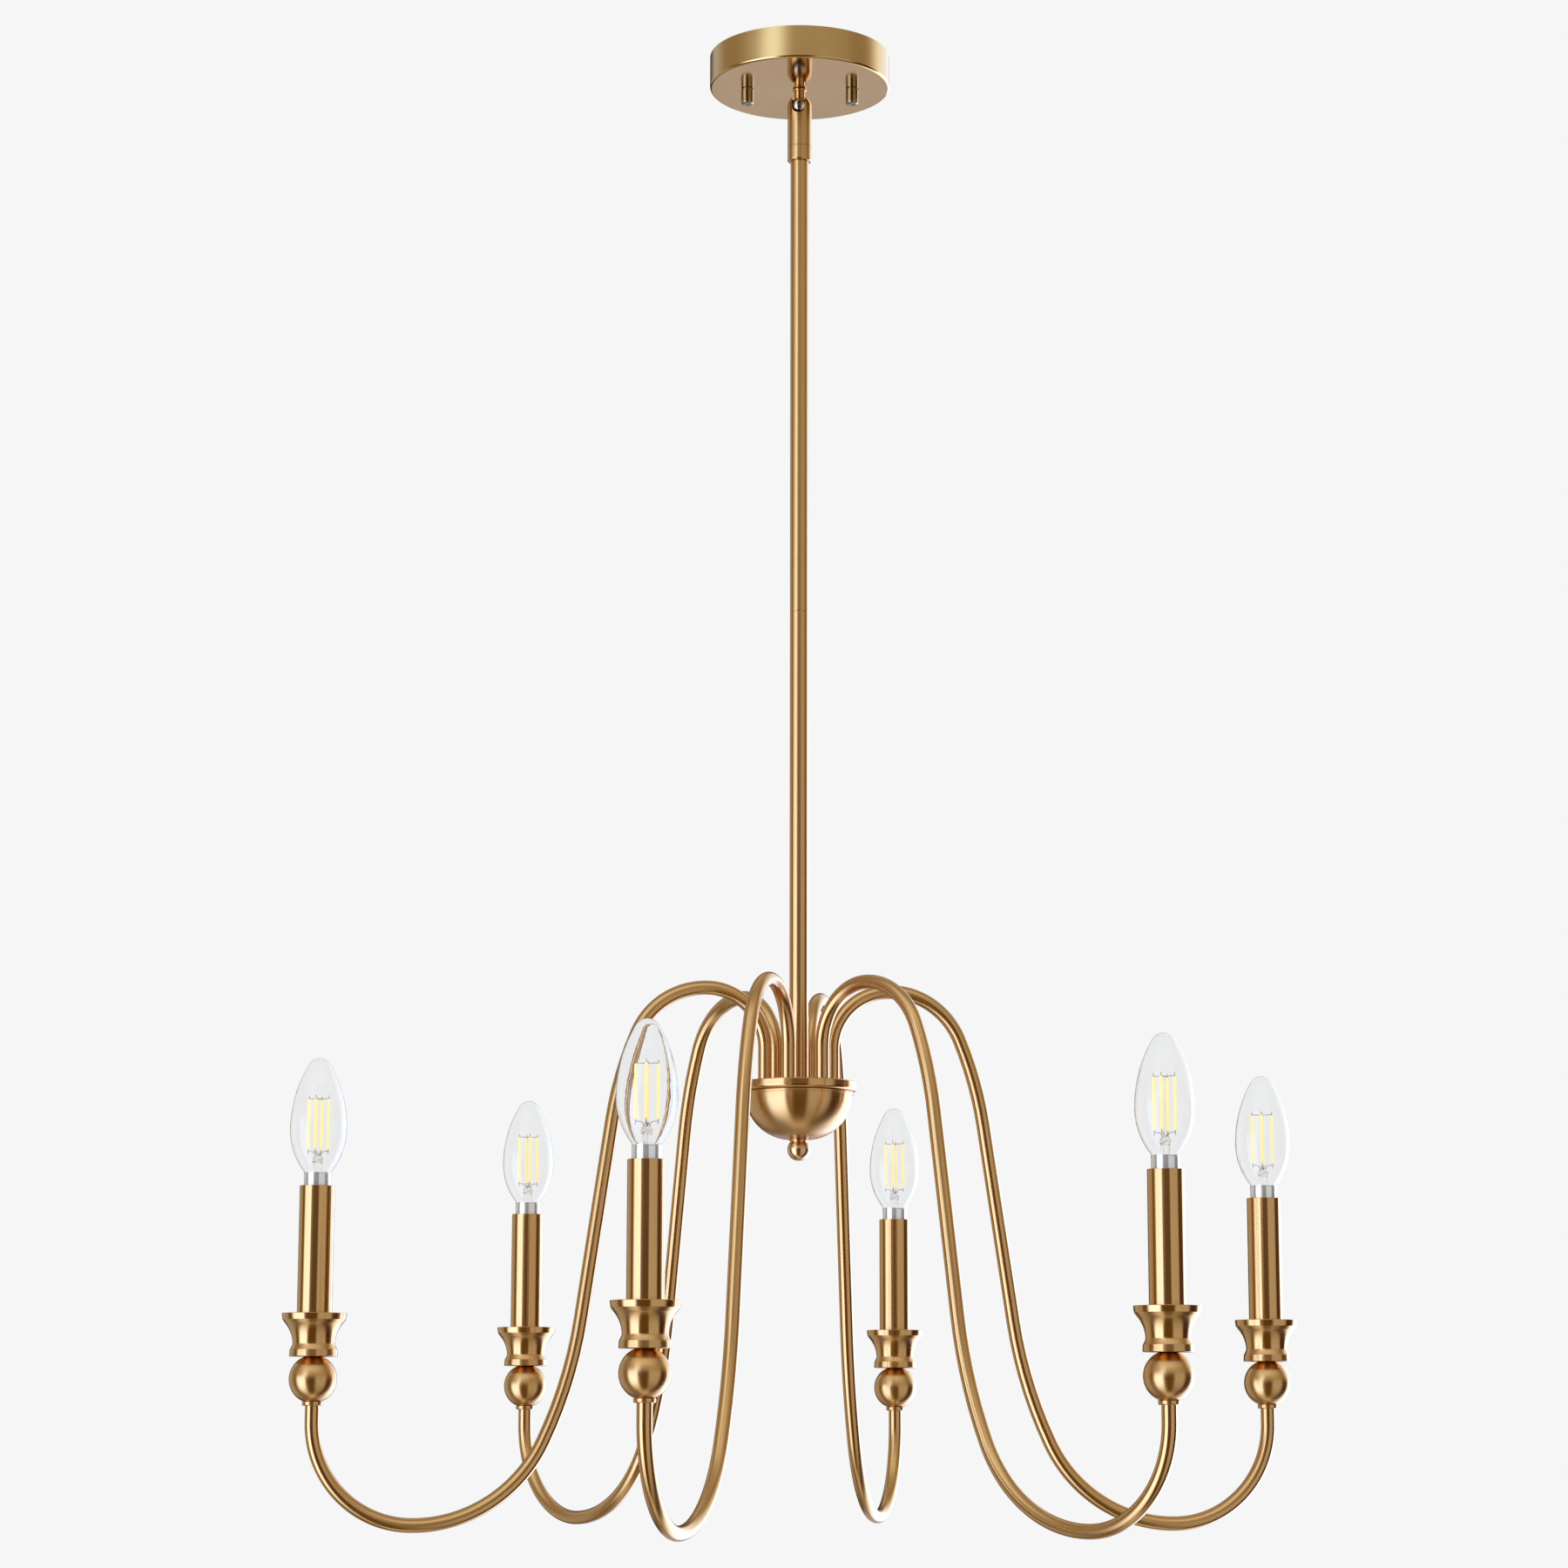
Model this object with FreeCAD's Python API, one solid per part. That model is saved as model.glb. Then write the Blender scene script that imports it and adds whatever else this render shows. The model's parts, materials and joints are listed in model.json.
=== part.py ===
"""Six-arm candle chandelier on two rods, with a swivel under its ceiling canopy.

Millimetres.  The origin is the centre of the mounting bar's top face, which lies
against the ceiling, and +Z points up, so the whole fitting hangs below Z = 0.
The canopy screws lie along X.  Every piece is one node, written to parts/.
"""
import FreeCAD, Part
import math
import os

Vector = FreeCAD.Vector

# ---- fits -------------------------------------------------------------------
THREAD_CLEARANCE = 0.05      # radial, thread crests kept as plain cylinders
RUNNING_CLEARANCE = 0.05     # radial, a pin or stem that turns in its hole
RUNNING_GAP = 0.1            # axial, between faces that turn on each other
SCREW_HOLE_CLEARANCE = 0.25  # radial, a screw through a plain hole
SLOT_CLEARANCE = 0.8         # radial, swivel neck in the housing's slot
SLEEVE_CLEARANCE = 0.3       # radial, candle sleeve around its lampholder

# ---- mounting bar and canopy ------------------------------------------------
BAR_WIDTH = 20.0
BAR_THICKNESS = 2.5
BAR_WIRE_HOLE_DIAMETER = 14.0
BOX_SCREW_SPACING = 88.9
BOX_SLOT_WIDTH = 4.4
BOX_SLOT_LENGTH = 11.0
BAR_END_MARGIN = 4.05        # end of a box screw's slot to the end of the bar
GROUND_SCREW_OFFSET = 17.0
GROUND_SCREW_DIAMETER = 4.0
GROUND_SCREW_HEAD_DIAMETER = 8.0
GROUND_SCREW_HEAD_HEIGHT = 2.4
GROUND_SCREW_HEAD_CHAMFER = 0.8
GROUND_SCREW_DRIVE_SLOT = 1.0   # width and depth
CANOPY_DIAMETER = 120.0
CANOPY_HEIGHT = 22.0
CANOPY_WALL = 1.0
CANOPY_EDGE_RADIUS = 1.6
STUD_SPACING = 70.0
STUD_DIAMETER = 4.0
STUD_END_GAP = 0.6           # stud tip to the bottom of the cap nut's hole
CAP_NUT_DIAMETER = 8.4
CAP_NUT_LENGTH = 10.6
CAP_NUT_HOLE_DEPTH = 7.0
CAP_NUT_CROWN_RADIUS = 1.6
CAP_NUT_DIMPLE_DIAMETER = 3.4
CAP_NUT_DIMPLE_DEPTH = 0.7
CAP_NUT_GROOVE_HEIGHT = 0.6
CAP_NUT_GROOVE_DEPTH = 0.9

# ---- swivel -----------------------------------------------------------------
SWIVEL_SET_ANGLE = -6.0      # slot's turn about Z from the front, degrees
PIVOT_DROP = 12.3            # canopy underside to tilt axis
NECK_DIAMETER = 7.0
NECK_BORE_DIAMETER = 4.2
NECK_COLLAR_DIAMETER = 9.0
NECK_COLLAR_HEIGHT = 1.8
NECK_THREAD_RISE = 9.0       # neck end above the canopy floor
NECK_NUT_ACROSS_FLATS = 13.0
NECK_NUT_HEIGHT = 5.0
KNUCKLE_DIAMETER = 12.6
HOUSING_DIAMETER = 16.0
HOUSING_WALL = 1.4
HOUSING_LENGTH = 28.4        # tilt axis to lower rim
SLOT_END_DROP = 2.0          # tilt axis to the centre of the slot's round end
TRUNNION_DIAMETER = 3.4
TRUNNION_REACH = 3.0         # how far a trunnion enters the knuckle
COUPLER_LENGTH = 10.1
COUPLER_SPIGOT_LENGTH = 7.0
COUPLER_EDGE_RADIUS = 1.0

# ---- rods -------------------------------------------------------------------
ROD_DIAMETER = 12.0
ROD_WALL = 1.0
ROD_LENGTH = 307.25
ROD_END_CHAMFER = 0.3
NIPPLE_LENGTH = 22.0
NIPPLE_BORE_DIAMETER = 6.5

# ---- hub --------------------------------------------------------------------
PLATE_DIAMETER = 74.5
PLATE_HEIGHT = 6.1
PLATE_THICKNESS = 1.5
PLATE_TOP_EDGE_RADIUS = 0.6
PLATE_LIP_RADIUS = 2.2
PLATE_LIP_OPENING_DIAMETER = 66.4
BOWL_SIDE_RADIUS = 29.0
BOWL_FLAT_DIAMETER = 10.6    # flat that the finial bears on
BOWL_CENTRE_DROP = 7.5       # hub plate's top to the centre of the side's arc
BOWL_WALL = 1.2
BOWL_BEAD_REACH = 0.6        # radial, past the bowl's side
BOWL_BEAD_HEIGHT = 2.0
BOWL_BEAD_RADIUS = 0.9
STEM_RISE = 14.0             # hub stem's reach up inside the lower rod
STEM_TUBE_DROP = 17.0        # hub plate's top to the end of the wide stem
STEM_WIRE_HOLE_DIAMETER = 4.8
STEM_END_WALL = 1.5          # closed end of the stem's bore
STEM_BOLT_DIAMETER = 6.0
CENTRE_NUT_ACROSS_FLATS = 14.0
CENTRE_NUT_HEIGHT = 6.0
FINIAL_BALL_DIAMETER = 14.5
FINIAL_HEIGHT = 13.5
FINIAL_FLANGE_DIAMETER = 12.8
FINIAL_FLANGE_HEIGHT = 0.5
FINIAL_NECK_DIAMETER = 10.8
FINIAL_NECK_SAG = 0.25
FINIAL_THREAD_DEPTH = 7.0

# ---- arms -------------------------------------------------------------------
ARM_COUNT = 6
FIRST_ARM_AZIMUTH = -17.6    # from the front (-Y) towards +X, degrees
ARM_SET_ANGLES = (1.5, 1.8, -3.7, 5.0, -4.3, -0.5)  # each arm's turn on its stem
ARM_STEM_CIRCLE_DIAMETER = 44.0
ARM_DIAMETER = 9.0
ARM_WALL = 1.2
ARM_THREAD_DIAMETER = 8.0
ARM_THREAD_LENGTH = 9.0
ARM_NUT_ACROSS_FLATS = 13.0
ARM_NUT_HEIGHT = 4.5
ARM_STEM_LENGTH = 21.6       # hub plate to the start of the crown bend
CROWN_RADIUS = 37.7          # over the top, a quarter turn
BROW_RADIUS = 49.1           # from level to steeply down
BROW_ANGLE = 67.5
SHOULDER_RADIUS = 234.0
SHOULDER_ANGLE = 14.0
LIMB_LENGTH = 126.0          # straight middle of the long limb
KNEE_RADIUS = 272.0
KNEE_ANGLE = 16.8
HEEL_RADIUS = 88.3
HEEL_ANGLE = 66.0
TOE_RADIUS = 62.4            # round to straight up again
ARM_TIP_LENGTH = 9.9         # end of the toe bend to the collar under the ball
ARM_TIP_INSERT = 6.0         # arm end inside the ball

# ---- candle -----------------------------------------------------------------
BALL_DIAMETER = 29.5
BALL_TOP_HEIGHT = 13.7       # centre to the flat under the cup
BALL_BOTTOM_DEPTH = 13.6     # centre to the collar's top
COLLAR_DIAMETER = 12.7
COLLAR_HEIGHT = 2.6
COLLAR_EDGE_RADIUS = 0.9
CUP_HEIGHT = 26.4
CUP_RIM_DIAMETER = 39.8
CUP_RIM_HEIGHT = 3.9
CUP_RIM_TAPER = 0.5          # radial, rim band's top to its bottom edge
CUP_LEDGE_REACH = 1.3         # radial, the slope under the rim band
CUP_LEDGE_HEIGHT = 1.9
CUP_WAIST_DIAMETER = 26.0
CUP_WAIST_HEIGHT = 7.7
CUP_FLARE_SAG = 1.25
CUP_SHOULDER_SAG = 0.15
CUP_FOOT_DIAMETER = 29.7
CUP_FOOT_HEIGHT = 4.2
CUP_FOOT_TAPER = 0.25         # radial, foot band's bottom to its top edge
CUP_FOOT_EDGE_RADIUS = 0.5
CUP_WALL = 1.2
CUP_FLOOR = 3.0
SLEEVE_DIAMETER = 21.5
SLEEVE_WALL = 0.8
SLEEVE_LENGTH = 101.6
HOLDER_LENGTH = 34.0
HOLDER_TOP_DEPTH = 1.0       # lampholder's rim below the sleeve's
HOLDER_SHELL_DEPTH = 21.0
HOLDER_STEM_DIAMETER = 9.5
HOLDER_STEM_BORE_DIAMETER = 6.0
HOLDER_STEM_INSERT = 6.0     # stem end inside the ball
HOLDER_FLANGE_DIAMETER = 16.0
HOLDER_FLANGE_HEIGHT = 2.5

# ---- bulb -------------------------------------------------------------------
BULB_LIFT_GAP = 0.1          # skirt to lampholder rim when screwed home
CAP_THREAD_DIAMETER = 13.8
CAP_THREAD_LENGTH = 16.5
CAP_SKIRT_DIAMETER = 17.0
CAP_SKIRT_HEIGHT = 9.0
CAP_SKIRT_WALL = 0.5
CAP_CONTACT_DIAMETER = 5.0
CAP_CONTACT_HEIGHT = 2.0
CAP_INSULATOR_FLARE = 0.6    # radial, contact to the insulator around it
CAP_THREAD_END_STEP = 1.6    # radial, thread end's cone
CAP_THREAD_END_HEIGHT = 2.2
GLASS_DIAMETER = 35.0
GLASS_HEIGHT = 71.0
GLASS_BELLY_HEIGHT = 27.0
GLASS_UPPER_RADIUS = 80.0
GLASS_WALL = 0.8
GLASS_NECK_INSERT = 4.0
FILAMENT_COUNT = 4
FILAMENT_DIAMETER = 1.8
FILAMENT_LENGTH = 31.0
FILAMENT_CIRCLE_DIAMETER = 12.8
BULB_SET_ANGLES = (-2.0, -22.0, -10.0, -11.0, 15.0, -10.0)  # each screwed home, from the front
FILAMENT_FOOT_HEIGHT = 14.5
MOUNT_STEM_DIAMETER = 5.6
MOUNT_STEM_HEIGHT = 11.0
MOUNT_ROD_DIAMETER = 1.6
MOUNT_WIRE_DIAMETER = 0.6
MOUNT_WIRE_INSET = 0.8       # filament's end to the middle of the wire through it
MOUNT_WIRE_TAIL = 0.5        # wire past the filament's outer side

# ---- heights that follow from the sizes --------------------------------------
CANOPY_FACE = -CANOPY_HEIGHT
CANOPY_FLOOR = CANOPY_FACE + CANOPY_WALL
PIVOT = CANOPY_FACE - PIVOT_DROP
HOUSING_RIM = PIVOT - HOUSING_LENGTH
UPPER_ROD_TOP = HOUSING_RIM - COUPLER_LENGTH
LOWER_ROD_TOP = UPPER_ROD_TOP - ROD_LENGTH
PLATE_TOP = LOWER_ROD_TOP - ROD_LENGTH
PLATE_LIP = PLATE_TOP - PLATE_HEIGHT
BOWL_CENTRE = PLATE_TOP - BOWL_CENTRE_DROP
BOWL_SEAT = BOWL_CENTRE - BOWL_SIDE_RADIUS

# ---- candle heights, from the collar's underside --------------------------------
BALL_CENTRE = COLLAR_HEIGHT + BALL_BOTTOM_DEPTH
CUP_LOW = BALL_CENTRE + BALL_TOP_HEIGHT
SLEEVE_LOW = CUP_LOW + CUP_FLOOR
SLEEVE_TOP = SLEEVE_LOW + SLEEVE_LENGTH
HOLDER_TOP = SLEEVE_TOP - HOLDER_TOP_DEPTH
SKIRT_LOW = HOLDER_TOP + BULB_LIFT_GAP
SKIRT_TOP = SKIRT_LOW + CAP_SKIRT_HEIGHT

# ---- diameters, radii and lengths that follow from the sizes --------------------
BAR_LENGTH = BOX_SCREW_SPACING + BOX_SLOT_LENGTH + 2 * BAR_END_MARGIN
ROD_BORE_DIAMETER = ROD_DIAMETER - 2 * ROD_WALL
NIPPLE_DIAMETER = ROD_BORE_DIAMETER - 2 * THREAD_CLEARANCE
ARM_STEM_RADIUS = ARM_STEM_CIRCLE_DIAMETER / 2
SLEEVE_BORE_DIAMETER = SLEEVE_DIAMETER - 2 * SLEEVE_WALL
HOLDER_DIAMETER = SLEEVE_BORE_DIAMETER - 2 * SLEEVE_CLEARANCE
GLASS_NECK_DIAMETER = CAP_SKIRT_DIAMETER - 2 * CAP_SKIRT_WALL - 2 * THREAD_CLEARANCE


# ---- shape helpers -------------------------------------------------------------
def cylinder(diameter, low, high, x=0.0, y=0.0):
    """Upright cylinder between two heights."""
    return Part.makeCylinder(diameter / 2, high - low, Vector(x, y, low))


def tube(outer, bore, low, high):
    """Upright tube on the Z axis."""
    return cylinder(outer, low, high).cut(cylinder(bore, low, high))


def lathe(start, *steps):
    """Solid turned about Z from an outline of (radius, height) points.

    A step is a point, for a straight edge, or a pair of points, for an arc that
    passes through the first and ends on the second.
    """
    edges = []
    here = Vector(start[0], 0, start[1])
    first = here
    for step in steps:
        if isinstance(step[0], tuple):
            middle = Vector(step[0][0], 0, step[0][1])
            end = Vector(step[1][0], 0, step[1][1])
            edges.append(Part.Arc(here, middle, end).toShape())
        else:
            end = Vector(step[0], 0, step[1])
            edges.append(Part.makeLine(here, end))
        here = end
    if here.distanceToPoint(first) > 1e-7:
        edges.append(Part.makeLine(here, first))
    face = Part.Face(Part.Wire(edges))
    return face.revolve(Vector(0, 0, 0), Vector(0, 0, 1), 360)


def corner(centre, radius, angle):
    """Point on a circle in the outline plane, angle in degrees from +radius."""
    turn = math.radians(angle)
    return (centre[0] + radius * math.cos(turn), centre[1] + radius * math.sin(turn))


def rounded(centre, radius, start_angle, end_angle):
    """Arc step for lathe(): its middle and end points."""
    return (corner(centre, radius, (start_angle + end_angle) / 2),
            corner(centre, radius, end_angle))


def flare_point(low, high, sag):
    """Middle of a concave arc between two outline points, bowed towards the axis."""
    across = (high[0] - low[0], high[1] - low[1])
    length = math.hypot(across[0], across[1])
    return ((low[0] + high[0]) / 2 - sag * across[1] / length,
            (low[1] + high[1]) / 2 + sag * across[0] / length)


def hex_nut(across_flats, bore, low, high):
    """Hexagon nut with a plain bore and turned-off corners."""
    reach = across_flats / math.sqrt(3)
    points = [Vector(reach * math.cos(math.radians(60 * i)),
                     reach * math.sin(math.radians(60 * i)), low) for i in range(7)]
    prism = Part.Face(Part.makePolygon(points)).extrude(Vector(0, 0, high - low))
    relief = (reach - across_flats / 2) * math.tan(math.radians(30))
    turned = lathe((0, low), (across_flats / 2, low), (reach, low + relief),
                   (reach, high - relief), (across_flats / 2, high), (0, high))
    return prism.common(turned).cut(cylinder(bore, low, high))


def turned_about_z(shape, angle):
    """Copy of a shape turned about Z, degrees."""
    copy = shape.copy()
    copy.rotate(Vector(0, 0, 0), Vector(0, 0, 1), angle)
    return copy


def moved(shape, x=0.0, y=0.0, z=0.0):
    """Copy of a shape moved."""
    copy = shape.copy()
    copy.translate(Vector(x, y, z))
    return copy


# ---- ceiling pieces --------------------------------------------------------------
def make_mounting_bar():
    """Steel strip with round ends, slotted for the ceiling box's two screws."""
    straight = BAR_LENGTH - BAR_WIDTH
    bar = Part.makeBox(straight, BAR_WIDTH, BAR_THICKNESS,
                       Vector(-straight / 2, -BAR_WIDTH / 2, -BAR_THICKNESS))
    for side in (-1, 1):
        bar = bar.fuse(cylinder(BAR_WIDTH, -BAR_THICKNESS, 0, x=side * straight / 2))
    cuts = [cylinder(BAR_WIRE_HOLE_DIAMETER, -BAR_THICKNESS, 0)]
    slot_straight = BOX_SLOT_LENGTH - BOX_SLOT_WIDTH
    for side in (-1, 1):
        centre = side * BOX_SCREW_SPACING / 2
        cuts.append(Part.makeBox(slot_straight, BOX_SLOT_WIDTH, BAR_THICKNESS,
                                 Vector(centre - slot_straight / 2, -BOX_SLOT_WIDTH / 2, -BAR_THICKNESS)))
        for end in (-1, 1):
            cuts.append(cylinder(BOX_SLOT_WIDTH, -BAR_THICKNESS, 0, x=centre + end * slot_straight / 2))
        cuts.append(cylinder(STUD_DIAMETER + 2 * THREAD_CLEARANCE, -BAR_THICKNESS, 0,
                             x=side * STUD_SPACING / 2))
    cuts.append(cylinder(GROUND_SCREW_DIAMETER + 2 * THREAD_CLEARANCE, -BAR_THICKNESS, 0,
                         x=GROUND_SCREW_OFFSET))
    for cut in cuts:
        bar = bar.cut(cut)
    return bar.removeSplitter()


def make_ground_screw():
    """Slotted washer-head screw up into the bar for the earth wire."""
    head_top = -BAR_THICKNESS
    head_low = head_top - GROUND_SCREW_HEAD_HEIGHT
    radius = GROUND_SCREW_HEAD_DIAMETER / 2
    chamfer = GROUND_SCREW_HEAD_CHAMFER
    head = lathe((0, head_low), (radius - chamfer, head_low), (radius, head_low + chamfer),
                 (radius, head_top), (0, head_top))
    slot = Part.makeBox(2 * radius, GROUND_SCREW_DRIVE_SLOT, GROUND_SCREW_DRIVE_SLOT,
                        Vector(-radius, -GROUND_SCREW_DRIVE_SLOT / 2, head_low))
    shank = cylinder(GROUND_SCREW_DIAMETER, head_top, 0)
    return moved(head.cut(slot).fuse(shank), x=GROUND_SCREW_OFFSET)


def make_mounting_studs():
    """Two headless screws from the bar down into the cap nuts."""
    tip = CANOPY_FACE - CAP_NUT_HOLE_DEPTH + STUD_END_GAP
    studs = [cylinder(STUD_DIAMETER, tip, 0, x=side * STUD_SPACING / 2) for side in (-1, 1)]
    return Part.makeCompound(studs)


def make_canopy():
    """Spun cup, open at the ceiling, with a rounded lower edge."""
    outer = CANOPY_DIAMETER / 2
    inner = outer - CANOPY_WALL
    edge = (outer - CANOPY_EDGE_RADIUS, CANOPY_FACE + CANOPY_EDGE_RADIUS)
    shell = lathe((0, CANOPY_FACE), (edge[0], CANOPY_FACE), rounded(edge, CANOPY_EDGE_RADIUS, -90, 0),
                  (outer, 0), (inner, 0), (inner, edge[1]),
                  rounded(edge, CANOPY_EDGE_RADIUS - CANOPY_WALL, 0, -90), (0, CANOPY_FLOOR))
    shell = shell.cut(cylinder(NECK_DIAMETER + 2 * RUNNING_CLEARANCE, CANOPY_FACE, CANOPY_FLOOR))
    for side in (-1, 1):
        shell = shell.cut(cylinder(STUD_DIAMETER + 2 * SCREW_HOLE_CLEARANCE, CANOPY_FACE, CANOPY_FLOOR,
                                   x=side * STUD_SPACING / 2))
    return shell


def make_cap_nuts():
    """Two turned cap nuts with a groove under the rim and a dimpled crown."""
    radius = CAP_NUT_DIAMETER / 2
    low = CANOPY_FACE - CAP_NUT_LENGTH
    crown = (radius - CAP_NUT_CROWN_RADIUS, low + CAP_NUT_CROWN_RADIUS)
    dimple = CAP_NUT_DIMPLE_DIAMETER / 2
    groove = CANOPY_FACE - CAP_NUT_GROOVE_HEIGHT
    nut = lathe((0, low + CAP_NUT_DIMPLE_DEPTH), (dimple, low), (crown[0], low),
                rounded(crown, CAP_NUT_CROWN_RADIUS, -90, 0), (radius, groove),
                (radius - CAP_NUT_GROOVE_DEPTH, groove), (radius - CAP_NUT_GROOVE_DEPTH, CANOPY_FACE),
                (0, CANOPY_FACE))
    nut = nut.cut(cylinder(STUD_DIAMETER + 2 * THREAD_CLEARANCE, CANOPY_FACE - CAP_NUT_HOLE_DEPTH,
                           CANOPY_FACE))
    return Part.makeCompound([moved(nut, x=side * STUD_SPACING / 2) for side in (-1, 1)])


# ---- swivel pieces ------------------------------------------------------------------
def make_swivel_neck():
    """Hollow neck that turns in the canopy and ends in a round knuckle."""
    top = CANOPY_FLOOR + NECK_THREAD_RISE
    collar_top = CANOPY_FACE - RUNNING_GAP
    collar = (NECK_COLLAR_DIAMETER / 2 - NECK_COLLAR_HEIGHT / 2, collar_top - NECK_COLLAR_HEIGHT / 2)
    neck = cylinder(NECK_DIAMETER, PIVOT, top)
    bead = lathe((0, collar_top - NECK_COLLAR_HEIGHT), (collar[0], collar_top - NECK_COLLAR_HEIGHT),
                 rounded(collar, NECK_COLLAR_HEIGHT / 2, -90, 90), (0, collar_top))
    knuckle = Part.makeSphere(KNUCKLE_DIAMETER / 2, Vector(0, 0, PIVOT))
    neck = neck.fuse(bead).fuse(knuckle).removeSplitter()
    neck = neck.cut(cylinder(NECK_BORE_DIAMETER, PIVOT - KNUCKLE_DIAMETER, top))
    hole = Part.makeCylinder(TRUNNION_DIAMETER / 2 + RUNNING_CLEARANCE, KNUCKLE_DIAMETER,
                             Vector(-KNUCKLE_DIAMETER / 2, 0, PIVOT), Vector(1, 0, 0))
    return turned_about_z(neck.cut(hole), SWIVEL_SET_ANGLE)


def make_neck_nut():
    """Hexagon nut that keeps the neck in the canopy and lets it turn."""
    low = CANOPY_FLOOR + RUNNING_GAP
    nut = hex_nut(NECK_NUT_ACROSS_FLATS, NECK_DIAMETER + 2 * THREAD_CLEARANCE, low, low + NECK_NUT_HEIGHT)
    return turned_about_z(nut, SWIVEL_SET_ANGLE)


def make_swivel_housing():
    """Domed sleeve with the slot that the neck swings in."""
    outer = HOUSING_DIAMETER / 2
    inner = outer - HOUSING_WALL
    middle = math.sqrt(0.5)
    shell = lathe((inner, HOUSING_RIM), (outer, HOUSING_RIM), (outer, PIVOT),
                  ((outer * middle, PIVOT + outer * middle), (0, PIVOT + outer)),
                  (0, PIVOT + inner),
                  ((inner * middle, PIVOT + inner * middle), (inner, PIVOT)))
    half = NECK_DIAMETER / 2 + SLOT_CLEARANCE
    upright = Part.makeCylinder(half, HOUSING_DIAMETER, Vector(0, 0, PIVOT))
    slot_end = PIVOT - SLOT_END_DROP
    level = Part.makeCylinder(half, HOUSING_DIAMETER, Vector(0, 0, slot_end), Vector(0, -1, 0))
    sweep = Part.makeBox(2 * half, HOUSING_DIAMETER, HOUSING_DIAMETER + SLOT_END_DROP,
                         Vector(-half, -HOUSING_DIAMETER, slot_end))
    shell = shell.cut(upright.fuse(level).fuse(sweep))
    holes = Part.makeCylinder(TRUNNION_DIAMETER / 2 + THREAD_CLEARANCE, HOUSING_DIAMETER,
                              Vector(-outer, 0, PIVOT), Vector(1, 0, 0))
    return turned_about_z(shell.cut(holes), SWIVEL_SET_ANGLE)


def make_trunnions():
    """Two short pins from the housing's walls into the knuckle, on the tilt axis."""
    reach = HOUSING_DIAMETER / 2
    length = reach - KNUCKLE_DIAMETER / 2 + TRUNNION_REACH
    rod = Part.makeCylinder(TRUNNION_DIAMETER / 2, 2 * reach, Vector(-reach, 0, PIVOT), Vector(1, 0, 0))
    inside = cylinder(HOUSING_DIAMETER, PIVOT - TRUNNION_DIAMETER, PIVOT + TRUNNION_DIAMETER)
    gap = Part.makeBox(2 * (reach - length), HOUSING_DIAMETER, HOUSING_DIAMETER,
                       Vector(-(reach - length), -reach, PIVOT - reach))
    pins = rod.common(inside).cut(gap)
    return turned_about_z(Part.makeCompound(pins.Solids), SWIVEL_SET_ANGLE)


def make_rod_coupler():
    """Ring under the housing, with a spigot up inside it and a tapped bore."""
    outer = HOUSING_DIAMETER / 2
    spigot = outer - HOUSING_WALL - THREAD_CLEARANCE
    bore = ROD_BORE_DIAMETER / 2
    edge = (outer - COUPLER_EDGE_RADIUS, UPPER_ROD_TOP + COUPLER_EDGE_RADIUS)
    return lathe((bore, UPPER_ROD_TOP), (edge[0], UPPER_ROD_TOP), rounded(edge, COUPLER_EDGE_RADIUS, -90, 0),
                 (outer, HOUSING_RIM), (spigot, HOUSING_RIM),
                 (spigot, HOUSING_RIM + COUPLER_SPIGOT_LENGTH), (bore, HOUSING_RIM + COUPLER_SPIGOT_LENGTH))


# ---- rods ------------------------------------------------------------------------------
def make_rod(top):
    """Straight tube with lightly chamfered ends."""
    outer = ROD_DIAMETER / 2
    inner = ROD_BORE_DIAMETER / 2
    low = top - ROD_LENGTH
    return lathe((inner, low), (outer - ROD_END_CHAMFER, low), (outer, low + ROD_END_CHAMFER),
                 (outer, top - ROD_END_CHAMFER), (outer - ROD_END_CHAMFER, top), (inner, top))


def make_rod_nipples():
    """Two equal threaded nipples: coupler to rod, and rod to rod."""
    return Part.makeCompound([tube(NIPPLE_DIAMETER, NIPPLE_BORE_DIAMETER, joint - NIPPLE_LENGTH / 2,
                                   joint + NIPPLE_LENGTH / 2) for joint in (UPPER_ROD_TOP, LOWER_ROD_TOP)])


# ---- hub -------------------------------------------------------------------------------
def arm_azimuth(index):
    """Azimuth of an arm's stem about the hub, degrees from -Y towards +X."""
    return FIRST_ARM_AZIMUTH + index * 360 / ARM_COUNT


def at_stem(shape, index):
    """Copy of a shape moved from the Z axis to an arm's stem."""
    placed = moved(shape, y=-ARM_STEM_RADIUS)
    return turned_about_z(placed, arm_azimuth(index))


def bulb_turn(index):
    """Turn of a bulb about its own axis that faces its first filament as set, degrees."""
    arm = ARM_SET_ANGLES[index % len(ARM_SET_ANGLES)] + arm_azimuth(index)
    return BULB_SET_ANGLES[index % len(BULB_SET_ANGLES)] - arm


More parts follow.
